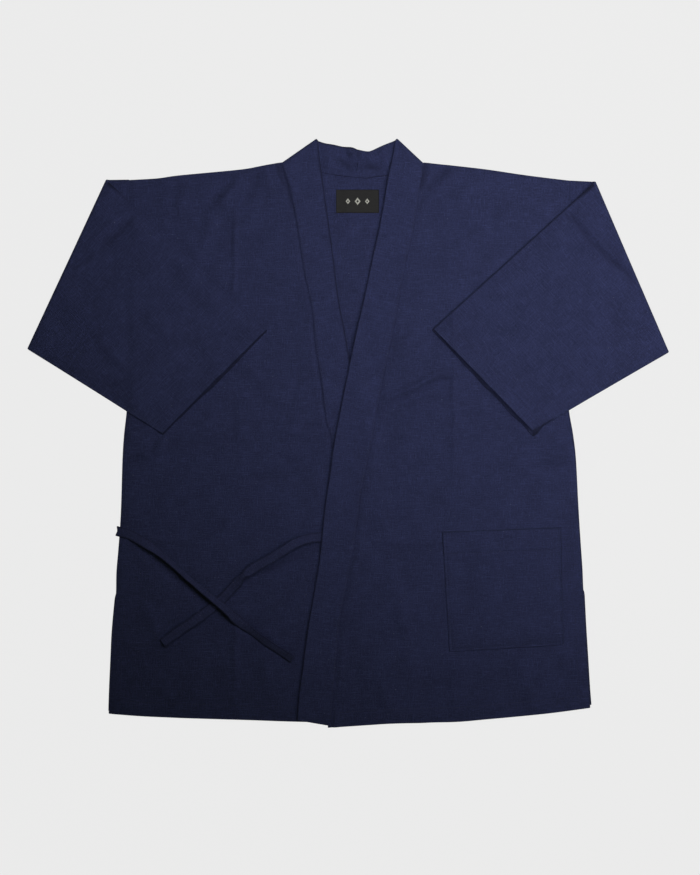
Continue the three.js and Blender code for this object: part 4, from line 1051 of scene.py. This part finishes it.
# Pocket
def make_pocket():
    mouth = POCKET_HEIGHT - POCKET_HEM
    rows = spaced(POCKET_HEIGHT, POCKET_STEP, fine_at=[mouth, POCKET_STITCH])
    cols = spaced(POCKET_WIDTH, POCKET_STEP, fine_at=[POCKET_STITCH, POCKET_WIDTH - POCKET_STITCH])
    u, v = (cols / POCKET_WIDTH)[None, :, None], (rows / POCKET_HEIGHT)[:, None, None]
    corner = {k: np.array(p) for k, p in POCKET.items()}
    foot = lerp(corner["foot_in"], corner["foot_out"], u)
    plan = lerp(foot, lerp(corner["mouth_in"], corner["mouth_out"], u), v)
    x, y = plan[..., 0], plan[..., 1]
    c, r = np.broadcast_arrays(cols[None], rows[:, None])
    edge = np.minimum(np.minimum(c, POCKET_WIDTH - c), r)
    puff = smooth(edge / 22) * (0.75 + 0.5 * broad(x + 300, y, 60) + 0.3 * fine(x + 90, y, 24))
    pucker = 0.5 * thread(c + r, c * 0, 6) * np.exp(-edge / 8)
    z = left_front_mid(x, y) + THICK + POCKET_GAP + groove(edge - POCKET_STITCH, 0.6, 1.2)
    z = z + np.maximum(puff, 0) + pucker + groove(r - mouth, 0.3, 1.1)
    grid = np.stack([x, y, z], -1)
    above = THICK / 2 + HEM_RISE * smooth((r - mouth - 0.4) / 1.2)
    obj, outer, normals = shell("pocket_cloth", grid, grid * (1, 1, 0) + (140, 60, 0), above)
    low, left = row_of(rows, POCKET_STITCH), row_of(cols, POCKET_STITCH)
    right = row_of(cols, POCKET_WIDTH - POCKET_STITCH)
    up = slice(low, None)
    mouth_run = (row_of(rows, mouth), slice(4, -4))
    return obj, runs_at(outer, normals, (low, slice(left, right + 1)), (up, left), (up, right), mouth_run)


# Ties
def gathered(tilt):
    """Share of its width that a tie keeps where it turns on edge and folds together."""
    return 1 - TIE_GATHER * smooth((np.abs(tilt) - 16) / 22)


def make_tie(name, table, start=()):
    tilt_all = np.concatenate([[table["tilt"][0]] * len(start), table["tilt"]])
    angle = np.radians(np.abs(table["tilt"]))
    stand = TIE_WIDTH / 2 * gathered(table["tilt"]) * np.sin(angle) + TIE_THICK / 2 * np.cos(angle)
    top = right_front_mid(table["x"], table["y"]) + THICK / 2
    points = np.column_stack([table["x"], table["y"], top + TIE_GAP + stand + table["over"]])
    points = np.vstack([np.array(start).reshape(-1, 3), points])
    rows = {"x": points[:, 0], "y": points[:, 1], "z": points[:, 2], "tilt": tilt_all}
    line = flow(rows, "x", "y", "z", "tilt", per_span=16)
    path, tilt = line[:, :3], np.radians(line[:, 3])
    tangent = unit(np.gradient(path, axis=0))
    plan = np.column_stack([tangent[:, 1], -tangent[:, 0], 0 * tilt])
    plan[np.linalg.norm(plan, axis=1) < 0.5] = (0, 1, 0)
    plan = unit(plan)
    plan[plan[:, 1] < 0] *= -1
    side = plan * np.cos(tilt)[:, None] + np.cross(tangent, plan) * np.sin(tilt)[:, None]
    up = unit(np.cross(side, tangent))
    across = np.array([-1, -0.97, -0.86, -0.6, -0.3, 0, 0.3, 0.6, 0.86, 0.97])
    ring = np.concatenate([across, [1], -across[1:]])
    thick = TIE_THICK / 2 * (1 - np.abs(ring) ** 8) ** 0.5
    stitched = 1 - 0.10 * np.exp(-((np.abs(ring) - 0.78) / 0.1) ** 2)
    thick = np.where(np.abs(ring) < 0.9, thick * stitched, thick)
    sign = np.concatenate([np.ones(len(across)), [0], -np.ones(len(across) - 1)])
    run = run_along(path)
    uneven = 1 + 0.05 * fine(run, run * 0, 14)[:, None]
    cup = 0.5 * (ring**2)[None] * broad(run, run * 0 + 3, 30)[:, None]
    uneven = uneven * gathered(line[:, 3])[:, None]
    surface = path[:, None] + side[:, None] * (ring[None] * uneven)[..., None] * TIE_WIDTH / 2
    surface = surface + up[:, None] * (thick * sign + cup)[..., None]
    tips = []
    for row, way in ((0, -1), (-1, 1)):
        middle = surface[row].mean(0) + tangent[row] * way * 0.5
        tips.append((middle * 0.7 + surface[row] * 0.3)[None])
    surface = np.concatenate([tips[0], surface, tips[1]])
    ids = np.arange(surface[..., 0].size).reshape(surface.shape[:2])
    faces = [grid_faces(ids, closed=True), end_cap(ids[0]), end_cap(ids[-1])]
    run = np.concatenate([[run[0] - 1], run, [run[-1] + 1]])
    cloth = np.stack(np.broadcast_arrays(ring[None] * TIE_WIDTH / 2, run[:, None], 0.0), -1)
    # Painted shade along both edges of the tie.
    rim = TIE_EDGE_SHADE * smooth((np.abs(ring) - 0.72) / 0.2) + 0 * run[:, None]
    obj = mesh_object(name, surface.reshape(-1, 3), np.vstack(faces), cloth.reshape(-1, 3), rim)
    fix_faces(obj)
    return obj


# Label, bare but for three small lozenges
def make_label():
    x = np.linspace(LABEL["x0"], LABEL["x1"], 61)
    y = np.linspace(LABEL["y0"], LABEL["y1"], 33)
    x, y = np.meshgrid(x, y)
    z = back_mid(x, y) + THICK / 2 + 0.2 + LABEL["thick"] / 2 + 0.12 * fine(x, y, 15)
    grid = np.stack([x, y, z], -1)
    half = LABEL["thick"] / 2
    return shell("label_cloth", grid, grid * (1, 1, 0), above=half, below=half)[0]


LOZENGES = ((-13.5, 3.2), (0, 4.2), (13.5, 3.2))  # place across the label and half width of each
LOZENGE_STEPS = ((1, -0.15), (0.92, 0.16), (0.42, 0.16), (0.36, -0.05))  # size and height, from its foot in


def label_motif(material):
    """Three raised lozenges in a row on the label, in pale thread."""
    points, faces = [], []
    for place, size in LOZENGES:
        cx, cy = (LABEL["x0"] + LABEL["x1"]) / 2 + place, (LABEL["y0"] + LABEL["y1"]) / 2
        cz = float(back_mid(np.array(cx), np.array(cy))) + THICK / 2 + 0.25 + LABEL["thick"]
        base = len(points)
        for scale, lift in LOZENGE_STEPS:
            for dx, dy in ((1, 0), (0, 1.3), (-1, 0), (0, -1.3)):
                points.append((cx + dx * size * scale, cy + dy * size * scale, cz + lift))
        ids = base + np.arange(4 * len(LOZENGE_STEPS)).reshape(-1, 4)
        faces.append(grid_faces(np.vstack([ids, ids[:1]]), closed=True))
    obj = mesh_object("label_lozenges", np.array(points), np.vstack(faces))
    fix_faces(obj)
    return dress(obj, material)


# Build the pieces, then their sewing
def stand_for(node, obj, material):
    """Dresses a piece in its material and puts it in the place of the solid of that name."""
    dress(obj, material)
    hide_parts(node)


stitch_runs = {}
stand_for("back", make_back(), navy)
for kind, make, material in (
    ("front", make_front, navy), ("collar", make_collar, navy_collar), ("sleeve", make_sleeve, navy),
):
    for name in ("right", "left"):
        obj, stitch_runs[f"{kind}_{name}"] = make(name)
        stand_for(f"{kind}_{name}", obj, material)
obj, stitch_runs["pocket"] = make_pocket()
stand_for("pocket", obj, navy)
stand_for("label", make_label(), label_finish("label_weave", (0.0140, 0.0138, 0.0150)))
label_motif(label_finish("label_thread", (0.30, 0.30, 0.28)))
stand_for("tie_front", make_tie("tie_front_cloth", FRONT_TIE), navy_tie)
stand_for("tie_side", make_tie("tie_side_cloth", SIDE_TIE, SIDE_TIE_START), navy_tie)

sewn_pieces = [f"{kind}_{name}" for name in ("right", "left") for kind in ("front", "collar", "sleeve")]
sewn_pieces.append("pocket")
seams = {piece: stitches(f"{piece}_stitches", stitch_runs[piece], sewing) for piece in sewn_pieces}

# Stage: an evenly bright table, and one large soft lamp towards the upper right
FLOOR_SIDE = 30000
FLOOR_GLOW = 0.824
FLOOR_TONES = (0.010, 0.012)
floor_corners = np.array([(-1, -1, 0), (1, -1, 0), (1, 1, 0), (-1, 1, 0)]) * FLOOR_SIDE - (0, 0, 0.4)
floor = mesh_object("floor", floor_corners, np.array([(0, 1, 2, 3)]))
table = Nodes("pale_floor")
darker, paler = (tone((level,) * 3) for level in FLOOR_TONES)
mottled = table.streaks(table.add("NewGeometry").outputs["Position"], 600, 600)
floor.data.materials.append(table.finish({
    "Base Color": table.mix(mottled, darker, paler), "Roughness": 1.0, "Specular IOR Level": 0.0,
    "Emission Color": (1, 1, 1, 1), "Emission Strength": FLOOR_GLOW,
}))

FILL_COLOUR = (0.93, 1.0, 0.5, 1)  # warm, against the blue of the cloth's shaded parts
FILL_STRENGTH = 0.14
world = bpy.data.worlds.new("studio")
bpy.context.scene.world = world
world.use_nodes = True
world.node_tree.nodes["Background"].inputs["Color"].default_value = FILL_COLOUR
world.node_tree.nodes["Background"].inputs["Strength"].default_value = FILL_STRENGTH


def softbox(name, place, aim, size, power):
    lamp = bpy.data.lights.new(name, "AREA")
    lamp.shape = "DISK"
    lamp.size = size
    lamp.energy = power
    obj = bpy.data.objects.new(name, lamp)
    bpy.context.scene.collection.objects.link(obj)
    obj.location = place
    obj.rotation_euler = (Vector(aim) - Vector(place)).to_track_quat("-Z", "Y").to_euler()
    obj.visible_camera = False


softbox("upper_right", place=(0.6, 0.5, 1.1), aim=(0.8, 1.2, 0.0), size=2.0, power=34.3)

# Camera, straight above
PHOTO_MM_PER_PIXEL = 1.4
PHOTO_HEIGHT = 875
CAMERA_AIM = (2.8, -7.7)
camera_data = bpy.data.cameras.new("camera")
camera_data.lens = 85
camera_data.sensor_width = 36
camera = bpy.data.objects.new("camera", camera_data)
bpy.context.scene.collection.objects.link(camera)
distance = PHOTO_HEIGHT * PHOTO_MM_PER_PIXEL * MM * camera_data.lens / camera_data.sensor_width
camera.location = (CAMERA_AIM[0] * MM, CAMERA_AIM[1] * MM, distance)
bpy.context.scene.camera = camera
bpy.context.scene.view_settings.view_transform = "Standard"
